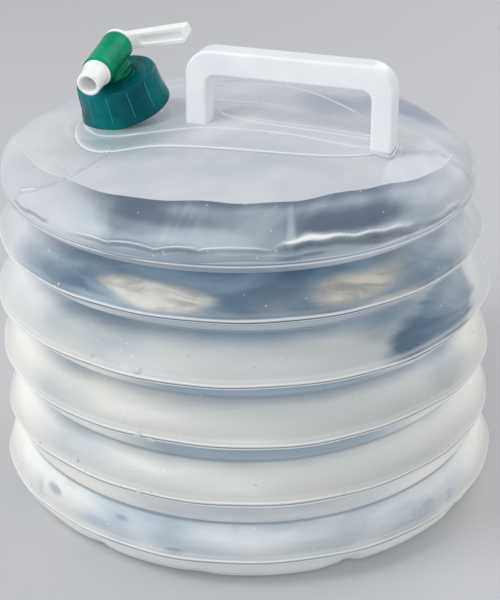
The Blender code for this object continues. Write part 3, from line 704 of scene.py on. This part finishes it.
def addCrinkles(points, angle):
    # ridges with a hollow below them; returns the painted shade of the hollows and the painted highlight of
    # the crests
    turn = fromFront(angle)
    shade, gleam = np.zeros(angle.shape), np.zeros(angle.shape)

    def ridge(line, share, proud, width, hollow, dark, bright):
        z = points[..., 2]
        crest, low = hill(z, line, width), hill(z, line - hollow, width)
        below, edge = hill(z, line - hollow * 0.8, width * 0.8), hill(z, line, width * 0.45)
        pushOut(points, angle, proud * share * (crest - 0.5 * low))
        shade[...] += below * share * dark
        gleam[...] += edge * share * bright

    for at, z, long, slope, proud, width in crinkles["folds"]:
        away = turnsAway(turn, at)
        share = smooth(1 - (away / long) ** 2, 0, 0.6)
        line = z + slope * away / long + 0.0005 * np.sin(away * 0.7) + 0.0002 * np.sin(away * 1.9)
        ridge(line, share, proud, width, 2.2 * width, 0.6, 0.25)
    fold = crinkles["long"]
    share = smooth(turn, fold["turns"][0], 13) * (1 - smooth(turn, 36, fold["turns"][-1]))
    line = np.interp(turn, fold["turns"], fold["heights"]) + 0.0003 * np.sin(turn * 0.9)
    ridge(line, share, fold["proud"], fold["width"], fold["hollow"], 0.8, 0.9)
    gleam += hill(turn, 17, 4) * hill(points[..., 2], line + 0.0012, 0.0011)
    wave = crinkles["scallop"]
    starts = np.array(wave["turns"])
    which = np.clip(np.searchsorted(starts, turn) - 1, 0, len(starts) - 2)
    part = np.clip((turn - starts[which]) / (starts[which + 1] - starts[which]), 0, 1)
    line = np.interp(turn, starts, wave["heights"]) + wave["rise"] * np.sin(np.pi * part) ** 0.6
    share = smooth(turn, starts[0], starts[0] + 8) * (1 - smooth(turn, starts[-1] - 1, starts[-1] + 2))
    ridge(line, share, wave["proud"], wave["width"], wave["hollow"], 0.35, 0.75)
    return np.clip(shade, 0, 1), np.clip(gleam, 0, 1)


def shoulderPiece(material):
    crease, top = bag["pitch"] * bag["pleats"], shoulder["radius"]
    low = bag["gap"] / 2
    rise = np.sin(np.linspace(0, math.pi / 2, 9))
    r = list(creaseRadius(bag["pleats"]) + (top - creaseRadius(bag["pleats"])) * np.sqrt(1 - (1 - rise) ** 2))
    z = list(crease + low + (shoulder["crestRise"] - low) * rise)
    climb = np.linspace(0.0005, 0.0135, 26) / shoulder["rise"]
    r += list(top * (1 - climb ** shoulder["power"]) ** (1 / shoulder["power"]))
    r += list(np.linspace(r[-1], 0.113, 13)[1:]) + list(np.linspace(0.113, 0.03, 81)[1:])
    r += list(np.linspace(0.03, 0.003, 13)[1:])
    z += list(domeHeight(np.array(r[len(z):]), 0.0))
    radius, height, angle = fullRings(r, z, shoulder["around"])
    dome = np.arange(len(r))[:, None] * np.ones(angle.shape) >= len(rise)
    points = placeRings(radius, height, angle)
    x, y = points[..., 0].copy(), points[..., 1].copy()
    edge = fitting["edge"] / 2
    marks = {}
    lift = np.zeros(angle.shape)
    for name, step in fitting["steps"].items():
        marks[name] = insideBy(rounded(fitting[name]), x, y)
        lift += step * smooth(marks[name], -edge, edge)
    marks["pad"] = neck["padRadius"] - np.hypot(x - neck["padX"], y - neck["padY"])
    lift += neck["padProud"] * smooth(marks["pad"], -edge, edge)
    seam = np.minimum(*(strokeAway(path, x, y) for path in fitting["seams"]))
    marks["seam"] = np.where(dome, seam, 1.0)
    lift += fitting["seamProud"] * hill(marks["seam"], 0, fitting["seamWidth"])
    free = smooth(-marks["outer"], 0.002, 0.02) * smooth(radius, 0.03, 0.08) * dome
    lift += free * (0.001 * np.sin(3 * angle + 26 * radius) + 0.0008 * np.sin(8 * angle - 60 * radius + 1.3)
                    + 0.0004 * np.sin(19 * angle + 90 * radius))
    points[..., 2] += lift
    marks["shade"], marks["gleam"] = addCrinkles(points, angle)
    marks["level"] = height
    flat = points.reshape(-1, 3)
    rows = np.array(neckFrame().inverted())[:3]
    local = flat @ rows[:, :3].T + rows[:, 3]
    covered = np.hypot(local[:, 0], local[:, 1]) < neck["outer"] - 0.0006
    faces = [face for face in ringFaces(*angle.shape) if not covered[list(face)].all()]
    last = len(flat)
    flat = np.vstack([flat, [[0.0, 0.0, float(points[-1, :, 2].mean())]]])
    ring = last - shoulder["around"]
    faces += [(ring + j, ring + (j + 1) % shoulder["around"], last) for j in range(shoulder["around"])]
    piece = newPiece("bagShoulder", flat, faces, material)
    for name, values in marks.items():
        addMark(piece, name, np.append(values, values[-1].mean()))
    dropLoose(piece)
    thicken(piece)
    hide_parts("bag_shoulder")
    domeDrops(piece)


def domeDrops(dome):
    bpy.context.view_layer.update()
    spots = []
    wanted = list(drops["dome"])
    for _ in range(drops["fine"]):
        angle, reach = luck.uniform(0, math.tau), luck.uniform(0.08, 0.132)
        size = luck.uniform(drops["small"], drops["large"])
        wanted.append((reach * math.cos(angle), reach * math.sin(angle), size))
    rays = [(Vector((x, y, 0.4)), Vector((0, 0, -1)), size) for x, y, size in wanted]
    for turn, z, size in drops["wall"]:
        angle = math.radians(turn - look["degrees"])
        out = Vector((math.cos(angle), math.sin(angle), 0))
        rays.append((out * 0.3 + Vector((0, 0, z)), -out, size))
    for start, aim, size in rays:
        hit, place, out, _ = dome.ray_cast(start, aim)
        if hit:
            spots.append((place + out * 0.0001, out, size))
    for part in (dome, dropPiece("domeDrops", spots)):
        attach(part, "shoulder")


def dropLoose(piece):
    # take away points that no face uses
    clean = bmesh.new()
    clean.from_mesh(piece.data)
    bmesh.ops.delete(clean, geom=[vert for vert in clean.verts if not vert.link_faces], context="VERTS")
    clean.to_mesh(piece.data)
    clean.free()


# the dome film's colours: side is a painted sheen, right and white are painted highlights, bright paints
# highlights and bubble specks, the green tint is a painted reflection of the cap, fold and rim are painted
# shade
topTones = dict(
    dry=(193, 199, 207), pale=(217, 218, 220), wet=(176, 189, 198), deep=(84, 100, 120),
    foot=(152, 170, 184), side=(209, 213, 217), near=(176, 182, 200), low=(196, 204, 212),
    right=(216, 222, 230), capReflection=(122, 160, 160), sheen=(226, 229, 236), behind=(140, 149, 174),
    shadow=(128, 138, 154), bright=(244, 246, 248), fold=(78, 94, 116), rim=(96, 112, 132),
    white=(240, 243, 246))
# how strong the painted highlight along each step's outline is
stepHighlights = dict(outer=0.75, middle=0.6, ridge=0.6, crown=0.45)


def topFinish():
    film = Finish("filmTop", **topTones)
    across, height = film.along(look["right"]), film.along((0.0, 0.0, 1.0))
    deep = film.along(look["front"])
    front = deep.ramp(0.0, 0.05)
    cloud = film.noise(9.0, 3.0, 0.55, (1.0, 1.0, 2.0), 0.8, viewTurn)
    streak = film.noise(24.0, 2.0, 0.5, (1.0, 1.0, 0.8), 0.5, viewTurn)
    upright = film.noise(26.0, 3.0, 0.5, (1.5, 0.3, 0.7), 0.7, -viewTurn)
    fine = film.noise(70.0, 3.0, 0.6, (1.0, 1.0, 1.6), 0.8)
    # the water line, further out at the sides, only on the front
    away = film.length(film.along((1.0, 0.0, 0.0)), film.along((0.0, 1.0, 0.0)))
    line = (across - 0.012) * (across - 0.012) * 1.05 + 0.1108 + (film.noise(11.0) - 0.5) * 0.0035
    milky = film.blend(cloud.ramp(0.3, 0.7), "dry", "pale")
    blue = patchShares(film, across, height, front, streak, water["dome"]) + (upright - 0.5) * 0.9 + 0.52
    blue = blue + (away - line).ramp(0.009, 0.0) * 0.35
    film.body = film.blend(blue.ramp(0.1, 1.0), "wet", "deep")
    film.over(height.ramp(0.2045, 0.202) * 0.6, "foot")
    # painted sheen: lighter towards the left and right as seen from the front
    film.over((across - 0.01).size().ramp(0.078, 0.118) * 0.85, "side")
    film.body = film.blend((away - line).ramp(-0.0006, 0.0006) * front * 0.94, milky, film.body)
    film.over(deep.ramp(0.02, -0.12) * 0.3, "near")
    film.over(height.ramp(0.1995, 0.188) * 0.6, "low")
    # painted highlight in a band low on the right of the dome's wall
    film.over(height.ramp(0.205, 0.2) * across.ramp(0.02, 0.07) * 0.7, "right")
    # painted reflection of the cap: a green tint near it
    film.over(film.apart((-0.058, -0.05, 0.228)).ramp(0.034, 0.008) * 0.6, "capReflection")
    film.over(film.facing(0.5).ramp(0.55, 0.95) * 0.35, "sheen")
    for spot, reach, amount in (((0.082, 0.07, 0.224), 0.04, 0.75), ((0.045, 0.042, 0.229), 0.036, 0.55)):
        film.over(film.apart(spot).ramp(reach, 0.01) * amount, "behind")
    shadow = (film.mark("outer") + 0.001).line(0.001) * 0.35
    film.over(shadow + (film.mark("seam") - 0.0012).line(0.0008) * 0.3, "shadow")
    # painted highlight lines along each step's outline, the seams and the pad, and on the crinkles' crests,
    # with a thin bright line along the water line; the back lines run along the top of each step, which stays
    # in sight from the front
    back = deep.ramp(0.0, -0.015)
    bright = 0.0
    for name, amount in stepHighlights.items():
        step = (film.mark(name) - back * 0.0016) / (back * 1.1 + 1)
        bright = step.line(0.0008) * (back * 0.6 + 1) * amount + bright
    bright = bright + film.mark("seam").line(0.0008) * 0.8 + film.mark("pad").line(0.0007) * 0.2
    bright = bright + (away - line).line(0.0006) * front * 0.5 + film.mark("gleam")
    film.over(bright.ramp(0.0, 1.0), "bright")
    # painted shade in the hollows under the crinkles
    film.over(film.mark("shade") * 0.75, "fold")
    # the rounded rim over the top pleat: painted shade lines and painted highlight lines along it
    level = film.mark("level")
    rim = (level - 0.1997).line(0.0006) * 0.6 + (level - 0.2012).line(0.0005) * 0.35 * front
    film.over(rim.ramp(0.0, 1.0), "rim")
    white = (level - 0.1985).line(0.0011) * 0.8 + (level - 0.2005).line(0.0006) * 0.4
    film.over(white.ramp(0.0, 1.0), "white")
    film.over(film.spots(110.0).ramp(0.065, 0.03) * 0.6, "bright")
    wave = film.bump(fine * 0.3 + streak, 0.2, 0.0016)
    # the film glows a little in its own colour: painted light
    return film.paint(Roughness=fine * 0.16 + 0.22, Alpha=0.88, Normal=wave, IOR=1.45, Coat_Weight=0.12,
                      Coat_Roughness=0.15, Specular_IOR_Level=0.4, Emission_Color=film.body,
                      Emission_Strength=bag["domeGlow"])


shoulderPiece(topFinish())
print("shoulder made")


def fillet(points, radius, steps=5):
    # round every corner of an open line; a third number in a point is its own radius
    out = [points[0][:2]]
    for before, here, after in zip(points, points[1:], points[2:]):
        a, b, c = (Vector(point[:2]) for point in (before, here, after))
        reach = min(here[2] if len(here) > 2 else radius, (a - b).length * 0.45, (c - b).length * 0.45)
        start, end = b + (a - b).normalized() * reach, b + (c - b).normalized() * reach
        for i in range(steps + 1):
            share = i / steps
            out.append(tuple(start * (1 - share) ** 2 + b * 2 * share * (1 - share) + end * share ** 2))
    out.append(points[-1][:2])
    return out


def lathe(outline, steps, axis="Z", closed=False):
    # turn (radius, height) points round an axis, as points and faces
    points, faces, rings = [], [], []
    for radius, height in outline:
        count = 1 if radius < 1e-6 else steps
        rings.append((len(points), count))
        for j in range(count):
            turn = math.tau * j / steps
            x, y = radius * math.cos(turn), radius * math.sin(turn)
            points.append((x, y, height) if axis == "Z" else (y, height, x))
    pairs = list(zip(rings, rings[1:])) + ([(rings[-1], rings[0])] if closed else [])
    for (low, lowCount), (high, highCount) in pairs:
        for j in range(steps):
            after = (j + 1) % steps
            corners = (low + j % lowCount, low + after % lowCount,
                       high + after % highCount, high + j % highCount)
            faces.append(tuple(dict.fromkeys(corners)))
    return points, faces


def joinShapes(*shapes):
    points, faces = [], []
    for more, moreFaces in shapes:
        base = len(points)
        points += list(more)
        faces += [tuple(base + i for i in face) for face in moreFaces]
    return points, faces


def place(shape, frame):
    points, faces = shape
    return [tuple(frame @ Vector(point)) for point in points], faces


def outward(piece):
    # merge doubles and point the faces outwards
    clean = bmesh.new()
    clean.from_mesh(piece.data)
    bmesh.ops.remove_doubles(clean, verts=clean.verts, dist=0.000005)
    bmesh.ops.recalc_face_normals(clean, faces=clean.faces)
    clean.to_mesh(piece.data)
    clean.free()
    return piece


def rim(piece, width, segments, angle):
    # small rounded edges
    return alter(piece, "BEVEL", width=width, segments=segments, limit_method="ANGLE",
                 angle_limit=math.radians(angle), harden_normals=True)


def roundedBox(halfX, halfY, corner, heightAt, steps=6):
    # loop of a rectangle with round corners
    loop = []
    for k, (sx, sy) in enumerate(((1, 1), (-1, 1), (-1, -1), (1, -1))):
        for i in range(steps + 1):
            turn = math.radians(90) * (k + i / steps)
            x = sx * (halfX - corner) + corner * math.cos(turn)
            y = sy * (halfY - corner) + corner * math.sin(turn)
            loop.append((x, y, heightAt(x, y)))
    return loop


def loft(loops):
    # faces from loop to loop, with both ends shut
    count = len(loops[0])
    points = [point for loop in loops for point in loop]
    faces = ringFaces(len(loops), count)
    faces += [tuple(reversed(range(count))), tuple(len(points) - count + j for j in range(count))]
    return points, faces


def slab(line, front, back):
    # a plate with the outline of a closed line of (x, z), from front to back
    count = len(line)
    points = [(x, y, z) for y in (front, back) for x, z in line]
    faces = [tuple(range(count)), tuple(reversed(range(count, 2 * count)))]
    faces += [(i, (i + 1) % count, count + (i + 1) % count, count + i) for i in range(count)]
    return points, faces


# moulded collars that hold the handle's feet
seat = dict(legs=(-0.02275, 0.08875), y=-0.018, halfX=0.0067, halfY=0.0077, corner=0.0026,
            profile=((0.001, -0.001), (0.001, 0.001), (0.0007, 0.0016), (0.0002, 0.002), (-0.0003, 0.0021),
                     (-0.0006, 0.0019), (-0.0008, 0.0008)))


def seatShape(legX):
    def level(up):
        return lambda x, y: float(domeHeight(legX + x, seat["y"] + y)) + up

    loops = []
    for grow, up in seat["profile"]:
        loops.append(roundedBox(seat["halfX"] + grow, seat["halfY"] + grow, seat["corner"] + grow, level(up)))
    points, faces = loft(loops)
    return [(x + legX, y + seat["y"], z) for x, y, z in points], faces


def neckShape():
    inner, outer = neck["outer"] - neck["wall"], neck["outer"]
    foot, top = -neck["foot"], neck["height"]
    outline = [(inner, 0.0), (inner, foot), (outer, foot), (outer, top), (inner, top), (inner, 0.0)]
    return lathe(fillet(outline, neck["edge"])[:-1], 96, closed=True)


# helical beads, round the neck and inside the cap
thread = dict(pitch=0.0042, steps=72, sides=8, neck=dict(radius=0.0208, start=0.0062, turns=2.6, bead=0.001),
              cap=dict(radius=0.0229, start=0.005, turns=2.2, bead=0.0007))


def threadPiece(name, material, radius, start, turns, bead):
    growth = Growth(name + "Nodes", dict(radius=radius, rise=thread["pitch"] * turns, turns=turns, bead=bead))
    radius = growth.size("radius")
    spiral = growth.node("GeometryNodeCurveSpiral", {},
                         {"Resolution": thread["steps"], "Rotations": growth.size("turns"),
                          "Start Radius": radius, "End Radius": radius, "Height": growth.size("rise")})
    section = growth.node("GeometryNodeCurvePrimitiveCircle", {"mode": "RADIUS"},
                          {"Resolution": thread["sides"], "Radius": growth.size("bead")})
    tube = growth.node("GeometryNodeCurveToMesh", {},
                       {"Curve": spiral, "Profile Curve": section, "Fill Caps": True})
    growth.close(growth.node("GeometryNodeSetShadeSmooth", {}, {"Geometry": tube}), material)
    piece = growth.grow(newPiece(name, [(0, 0, 0)], [], None))
    piece.data.transform(neckFrame() @ Matrix.Translation((0, 0, start)))
    return piece


def fittingPieces():
    shape = joinShapes(place(neckShape(), neckFrame()), *(seatShape(x) for x in seat["legs"]))
    piece = outward(newPiece("neckAndSeats", *shape, mouldedFilm))
    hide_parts("top_fitting")
    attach(piece, "shoulder")
    turn = threadPiece("neckThread", mouldedFilm, **thread["neck"])
    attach(turn, "shoulder")


def plasticFinish(name, light, dark, roughness, glow=0.0, coat=0.3, gloss=0.5):
    # moulded plastic: faint flow clouds and fine bright scratches
    plastic = Finish(name, light=light, dark=dark, white=(255, 255, 255))
    cloud = plastic.noise(45.0, 2.0, 0.5)
    scratch = plastic.noise(700.0, 2.0, 0.6, (1.0, 1.0, 0.12), 0.4, 0.6)
    grain = plastic.noise(1500.0, 2.0, 0.6)
    plastic.body = plastic.blend(cloud.ramp(0.3, 0.7), "dark", "light")
    plastic.over(scratch.ramp(0.66, 0.84) * 0.1, plastic.blend(0.5, "light", "white"))
    bump = plastic.bump(grain * 0.4 + cloud, 0.1, 0.0004)
    return plastic.paint(Roughness=scratch * 0.1 + cloud * 0.08 + (roughness - 0.09), Normal=bump, IOR=1.49,
                         Coat_Weight=coat, Coat_Roughness=0.08, Specular_IOR_Level=gloss,
                         Subsurface_Weight=glow, Subsurface_Radius=(1.0, 1.0, 1.0), Subsurface_Scale=0.006)


def rubberFinish():
    rubber = Finish("sealRubber", dark=(28, 28, 30), dusty=(58, 58, 60))
    grain = rubber.noise(1800.0, 2.0, 0.6)
    dust = rubber.noise(240.0, 3.0, 0.6)
    rubber.body = rubber.blend(dust.ramp(0.45, 0.75), "dark", "dusty")
    return rubber.paint(Roughness=dust * 0.2 + 0.5, Normal=rubber.bump(grain, 0.25, 0.0003))


handlePlastic = plasticFinish("handlePlastic", (247, 248, 250), (238, 241, 246), 0.36, 0.2, 0.2)
capPlastic = plasticFinish("capPlastic", (0, 116, 118), (0, 82, 86), 0.15, 0.0, 0.0, 0.12)
# the grip ribs in a lighter teal than the cap: a painted highlight
ribHighlightPlastic = plasticFinish("ribHighlightPlastic", (30, 150, 146), (10, 122, 120), 0.22, 0.0, 0.0, 0.5)
tapPlastic = plasticFinish("tapPlastic", (0, 156, 116), (0, 116, 80), 0.28, 0.0, 0.0, 0.1)
whitePlastic = plasticFinish("whitePlastic", (254, 254, 252), (250, 251, 250), 0.36, 0.12, 0.3)
mouldedFilm = plasticFinish("mouldedFilm", (214, 219, 226), (196, 203, 213), 0.22, 0.2, 0.4)
sealRubber = rubberFinish()
fittingPieces()
print("fitting made")

bail = dict(middle=0.033, spacing=0.1115, width=0.013, bar=0.015, depth=0.015, sink=0.0006, top=0.27847,
            outer=0.016, inner=0.006, edge=0.0018, y=-0.018)


def arc(x, z, radius, start, steps=10):
    turns = [start - math.radians(90) * i / steps for i in range(steps + 1)]
    return [(x + radius * math.cos(turn), z + radius * math.sin(turn)) for turn in turns]


def handlePiece():
    left, right = bail["middle"] - bail["spacing"] / 2, bail["middle"] + bail["spacing"] / 2
    half, top, under = bail["width"] / 2, bail["top"], bail["top"] - bail["bar"]
    outer, inner = bail["outer"], bail["inner"]
    lowLeft, lowRight = (float(domeHeight(x, bail["y"])) + bail["sink"] for x in (left, right))
    line = [(left - half, lowLeft)] + arc(left - half + outer, top - outer, outer, math.pi)
    line += arc(right + half - outer, top - outer, outer, math.pi / 2)
    line += [(right + half, lowRight), (right - half, lowRight)]
    line += list(reversed(arc(right - half - inner, under - inner, inner, math.pi / 2)))
    line += list(reversed(arc(left + half + inner, under - inner, inner, math.pi))) + [(left + half, lowLeft)]
    shape = slab(line, bail["y"] - bail["depth"] / 2, bail["y"] + bail["depth"] / 2)
    piece = outward(newPiece("carryBail", *shape, handlePlastic))
    rim(piece, bail["edge"], 5, 50)
    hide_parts("carry_handle")
    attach(piece, "shoulder")


handlePiece()
print("handle made")

cap = dict(low=0.001, top=0.023, inner=0.0233, waist=0.0257, crown=0.0242, rim=0.0272, flare=0.006,
           wall=0.0025, hole=0.0064, rings=(0.0119, 0.0185), ringHalf=0.0005, ribs=12, firstRib=4,
           ribWidth=0.0008, ribProud=0.0004)


def capShape():
    high, low, half = cap["top"], cap["low"], cap["ringHalf"]
    crown, waist, rim, flare = cap["crown"], cap["waist"], cap["rim"], cap["low"] + cap["flare"]
    outline = [(cap["hole"], high)]
    for ring in cap["rings"]:
        outline += [(ring - half, high, 0.0002), (ring, high - half, 0.0002), (ring + half, high, 0.0002)]
    outline += [(crown - 0.0014, high, 0.001), (crown, high - 0.001, 0.0012),
                (waist - 0.0004, flare + 0.002, 0.002), (waist + 0.0003, flare, 0.002),
                (rim, low + 0.0018, 0.0012), (rim, low + 0.0004, 0.0004), (rim - 0.0008, low, 0.0004),
                (cap["inner"], low, 0.0004), (crown - 0.0024, high - cap["wall"], 0.0006),
                (cap["hole"], high - cap["wall"])]
    return lathe(fillet(outline, 0.0006), 144, closed=True)


def ribShape():
    # one upright grip rib, on the cap's outside at +X
    half, proud, flare = cap["ribWidth"] / 2, cap["ribProud"], cap["low"] + cap["flare"]
    crown, waist, high = cap["crown"], cap["waist"], cap["top"]
    rows = [(crown + 0.0001, high - 0.0018, 0.1), (crown + 0.0002, high - 0.003, 1.0),
            (waist - 0.0004, flare + 0.002, 1.0), (waist + 0.0003, flare - 0.0004, 1.0),
            (cap["rim"] - 0.0005, cap["low"] + 0.0024, 0.2)]
    points = []
    for radius, z, share in rows:
        for y, out in ((-half, -0.0006), (-half * 0.7, proud * 0.6), (0, proud), (half * 0.7, proud * 0.6),
                       (half, -0.0006)):
            points.append((radius + out * (share if out > 0 else 1), y, z))
    faces = ringFaces(len(rows), 5)
    return points, faces + [tuple(range(5)), tuple(reversed(range(20, 25)))]


def capPieces():
    piece = newPiece("screwCap", *place(capShape(), neckFrame()), capPlastic)
    outward(piece)
    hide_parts("cap_shell")
    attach(piece, "cap")
    growth = Growth("ribRing", dict(ribs=cap["ribs"], start=math.radians(cap["firstRib"])))
    rows = growth.node("GeometryNodePoints", {}, {"Count": growth.size("ribs")})
    index = growth.node("GeometryNodeInputIndex", {}, {})
    turn = index * math.tau / growth.size("ribs") + growth.size("start")
    turn = growth.node("ShaderNodeCombineXYZ", {}, {"Z": turn})
    ring = growth.node("GeometryNodeInstanceOnPoints", {},
                       {"Points": rows, "Instance": growth.size("Geometry"), "Rotation": turn})
    growth.close(ring, ribHighlightPlastic)
    ribs = growth.grow(outward(newPiece("capRibs", *ribShape(), ribHighlightPlastic)))
    ribs.data.transform(neckFrame())
    ribs.data.shade_smooth()
    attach(ribs, "cap")
    turns = threadPiece("capThread", capPlastic, **thread["cap"])
    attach(turns, "cap")


capPieces()
print("cap made")

tap = dict(swivel=-3.5, bore=0.008, outer=0.0095, front=0.0175, rear=0.014, height=0.0122, columnX=0.0065,
           columnY=0.0105, corner=0.002, meet=0.0088, meetMiddle=0.0087, footRadius=0.0105, footHigh=0.0016,
           gap=0.0003, stem=0.006, stemWall=0.0026, stemLong=0.0085, edge=0.0004)


def tapFrame():
    return neckFrame(cap["top"]) @ Matrix.Rotation(math.radians(tap["swivel"]), 4, "Z")


def barrelFrame():
    return tapFrame() @ Matrix.Translation((0, 0, tap["height"]))


def tapPieces():
    front, rear, outer, bore = tap["front"], tap["rear"], tap["outer"], tap["bore"]
    gap, foot, edge = tap["gap"], tap["footHigh"], tap["edge"]
    tube = [(bore, 0.0), (bore, -front), (outer - 0.0004, -front), (outer, -front + 0.0012),
            (outer - 0.0002, -front + 0.003), (outer - 0.0002, rear - 0.003), (outer, rear - 0.0012),
            (outer - 0.0003, rear), (bore, rear), (bore, 0.0)]
    barrel = place(lathe(fillet(tube, edge)[:-1], 96, "Y", True), barrelFrame())

    def underBarrel(x, y):
        return tap["height"] - math.sqrt(max(tap["meet"] ** 2 - x * x, 0))

    column = [roundedBox(tap["columnX"] + grow, tap["columnY"] + grow, tap["corner"], lambda x, y, z=z: z)
              for grow, z in ((0.0012, gap + 0.001), (0.0006, foot + 0.0005), (0.0001, foot + 0.0014),
                              (0.0, 0.0038))]
    column.append(roundedBox(tap["columnX"], tap["columnY"], tap["corner"], underBarrel))
    points, faces = loft(column)
    count = len(column[0])
    points.append((0, 0, tap["height"] - tap["meetMiddle"]))
    last = len(points) - 1
    faces = faces[:-1] + [(last - count + j, last - count + (j + 1) % count, last) for j in range(count)]
    block = place((points, faces), tapFrame())
    stem, low, wide = tap["stem"], -tap["stemLong"], tap["footRadius"]
    stemBore = stem - tap["stemWall"]
    plate = [(stemBore, 0.0), (stemBore, low), (stem, low), (stem, gap), (wide, gap), (wide, gap + foot),
             (stemBore + 0.001, gap + foot + 0.0003), (stemBore, 0.0)]
    disc = place(lathe(fillet(plate, edge)[:-1], 72, closed=True), tapFrame())
    piece = outward(newPiece("tapBody", *joinShapes(barrel, block, disc), tapPlastic))
    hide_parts("tap_body")
    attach(piece, "tap")


core = dict(plug=0.0077, mouth=0.007, spout=0.0048, reach=0.0145, bead=0.0085, hub=0.0025, gap=0.0003,
            endWall=0.004, lever=0.0468, behind=0.003, root=0.0044, tip=0.0053, thick=0.006, inHub=0.001,
            cut=0.005, rake=0.0012, edge=0.0005, rest=2.0, channelStart=0.014, channelEnd=0.0423,
            channelHalf=0.0026, channelDeep=0.0014)


def corePieces():
    frame = barrelFrame() @ Matrix.Rotation(math.radians(-core["rest"]), 4, "Y")
    hub, bead, mouth = tap["rear"] + core["gap"], -tap["front"] - core["gap"], -tap["front"] - core["reach"]
    outer, plug, lip, spout = core["bead"], core["plug"], core["mouth"], core["spout"]
    inner, end = tap["rear"] - core["endWall"], hub + core["hub"]
    side = [(0, end), (tap["outer"], end, 0.0007), (tap["outer"], hub, 0.0004), (plug, hub), (plug, bead),
            (outer, bead, 0.0004), (outer, bead - 0.0012, 0.0004), (plug, bead - 0.0013),
            (lip + 0.0003, mouth + 0.005, 0.003), (lip, mouth, 0.0009), (spout + 0.0004, mouth, 0.0006),
            (spout, mouth + 0.002, 0.001), (spout - 0.0003, inner), (0, inner)]
    shape = place(lathe(fillet(side, 0.0003), 96, "Y"), frame)
    turned = outward(newPiece("spoutAndPlug", *shape, whitePlastic))
    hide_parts("valve_core")
    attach(turned, "valve")
    back, behind = end - core["inHub"], -core["behind"]
    reach, cut, tip, root = core["lever"], core["cut"], core["tip"], core["root"]
    line = fillet([(behind, 0.0), (behind, -root, 0.002), (reach - cut, -tip, 0.0012),
                   (reach, -tip + cut, 0.0012), (reach - core["rake"], tip, 0.001), (behind, root, 0.002),
                   (behind, 0.0)], 0.001)[:-1]
    lever = outward(newPiece("tapLever", *slab(line, back, back + core["thick"]), whitePlastic))
    cutter = outward(newPiece("channelCutter", *slotShape(back), None))
    alter(lever, "BOOLEAN", operation="DIFFERENCE", solver="EXACT", object=cutter)
    bpy.data.objects.remove(cutter)
    rim(lever, core["edge"], 3, 40)
    lever.data.transform(frame)
    lever.data.materials.clear()
    lever.data.materials.append(whitePlastic)
    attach(lever, "valve")


def slotShape(back):
    # the lever's channel, a little wider at its far end
    near, far, half = core["channelStart"], core["channelEnd"], core["channelHalf"]
    loops = []
    for y, less in ((back - 0.001, 0.0), (back + core["channelDeep"], 0.0003)):
        corners = ((near + less, less - half), (far - less, less - half * 1.15),
                   (far - less, half * 1.15 - less), (near + less, half - less))
        loops.append([(x, y, z) for x, z in corners])
    return loft(loops)


tapPieces()
corePieces()
print("tap made")

hidden = dict(cap_liner=sealRubber, stem_washer=sealRubber, stem_snap_ring=whitePlastic,
              core_seal_front=sealRubber, core_seal_rear=sealRubber)
for nodeName, material in hidden.items():
    for holder in frame["nodes"][nodeName].material_slots:
        holder.material = material


def floorFinish():
    floor = Finish("floorPaint", dark=(199, 200, 202), light=(204, 205, 207))
    cloud = floor.noise(1.2, 2.0)
    floor.body = floor.blend(cloud, "dark", "light")
    return floor.paint(Roughness=cloud * 0.1 + 0.55)


# lamps: place, size, power
studio = dict(half=4.0, aim=(0, 0, 0.12), air=(0.87, 0.88, 0.9, 1.0), airStrength=0.5,
              lamps=dict(keyLamp=((-0.9, -0.9, 1.7), 0.8, 12.0), leftLamp=((-1.7, -0.5, 0.6), 2.0, 12.0),
                         rightLamp=((1.7, 0.4, 0.7), 2.2, 6.5), backLamp=((0.5, 1.4, 1.3), 1.2, 9.0),
                         frontLamp=((0.5, -1.8, 1.0), 0.7, 8.0)))


def addStudio():
    half = studio["half"]
    sheet = newPiece("studioFloor", [(-half, -half, 0), (half, -half, 0), (half, half, 0), (-half, half, 0)],
                     [(0, 1, 2, 3)], floorFinish())
    world = bpy.data.worlds.new("studioAir")
    world.use_nodes = True
    air = world.node_tree.nodes["Background"]
    air.inputs["Color"].default_value = studio["air"]
    air.inputs["Strength"].default_value = studio["airStrength"]
    bpy.context.scene.world = world
    bpy.context.scene.view_settings.view_transform = "Standard"
    for name, (at, wide, power) in studio["lamps"].items():
        light = bpy.data.lights.new(name, "AREA")
        light.size = wide
        light.energy = power
        addObject(name, light, at, Vector(at) - Vector(studio["aim"]))


addStudio()
print("studio set")
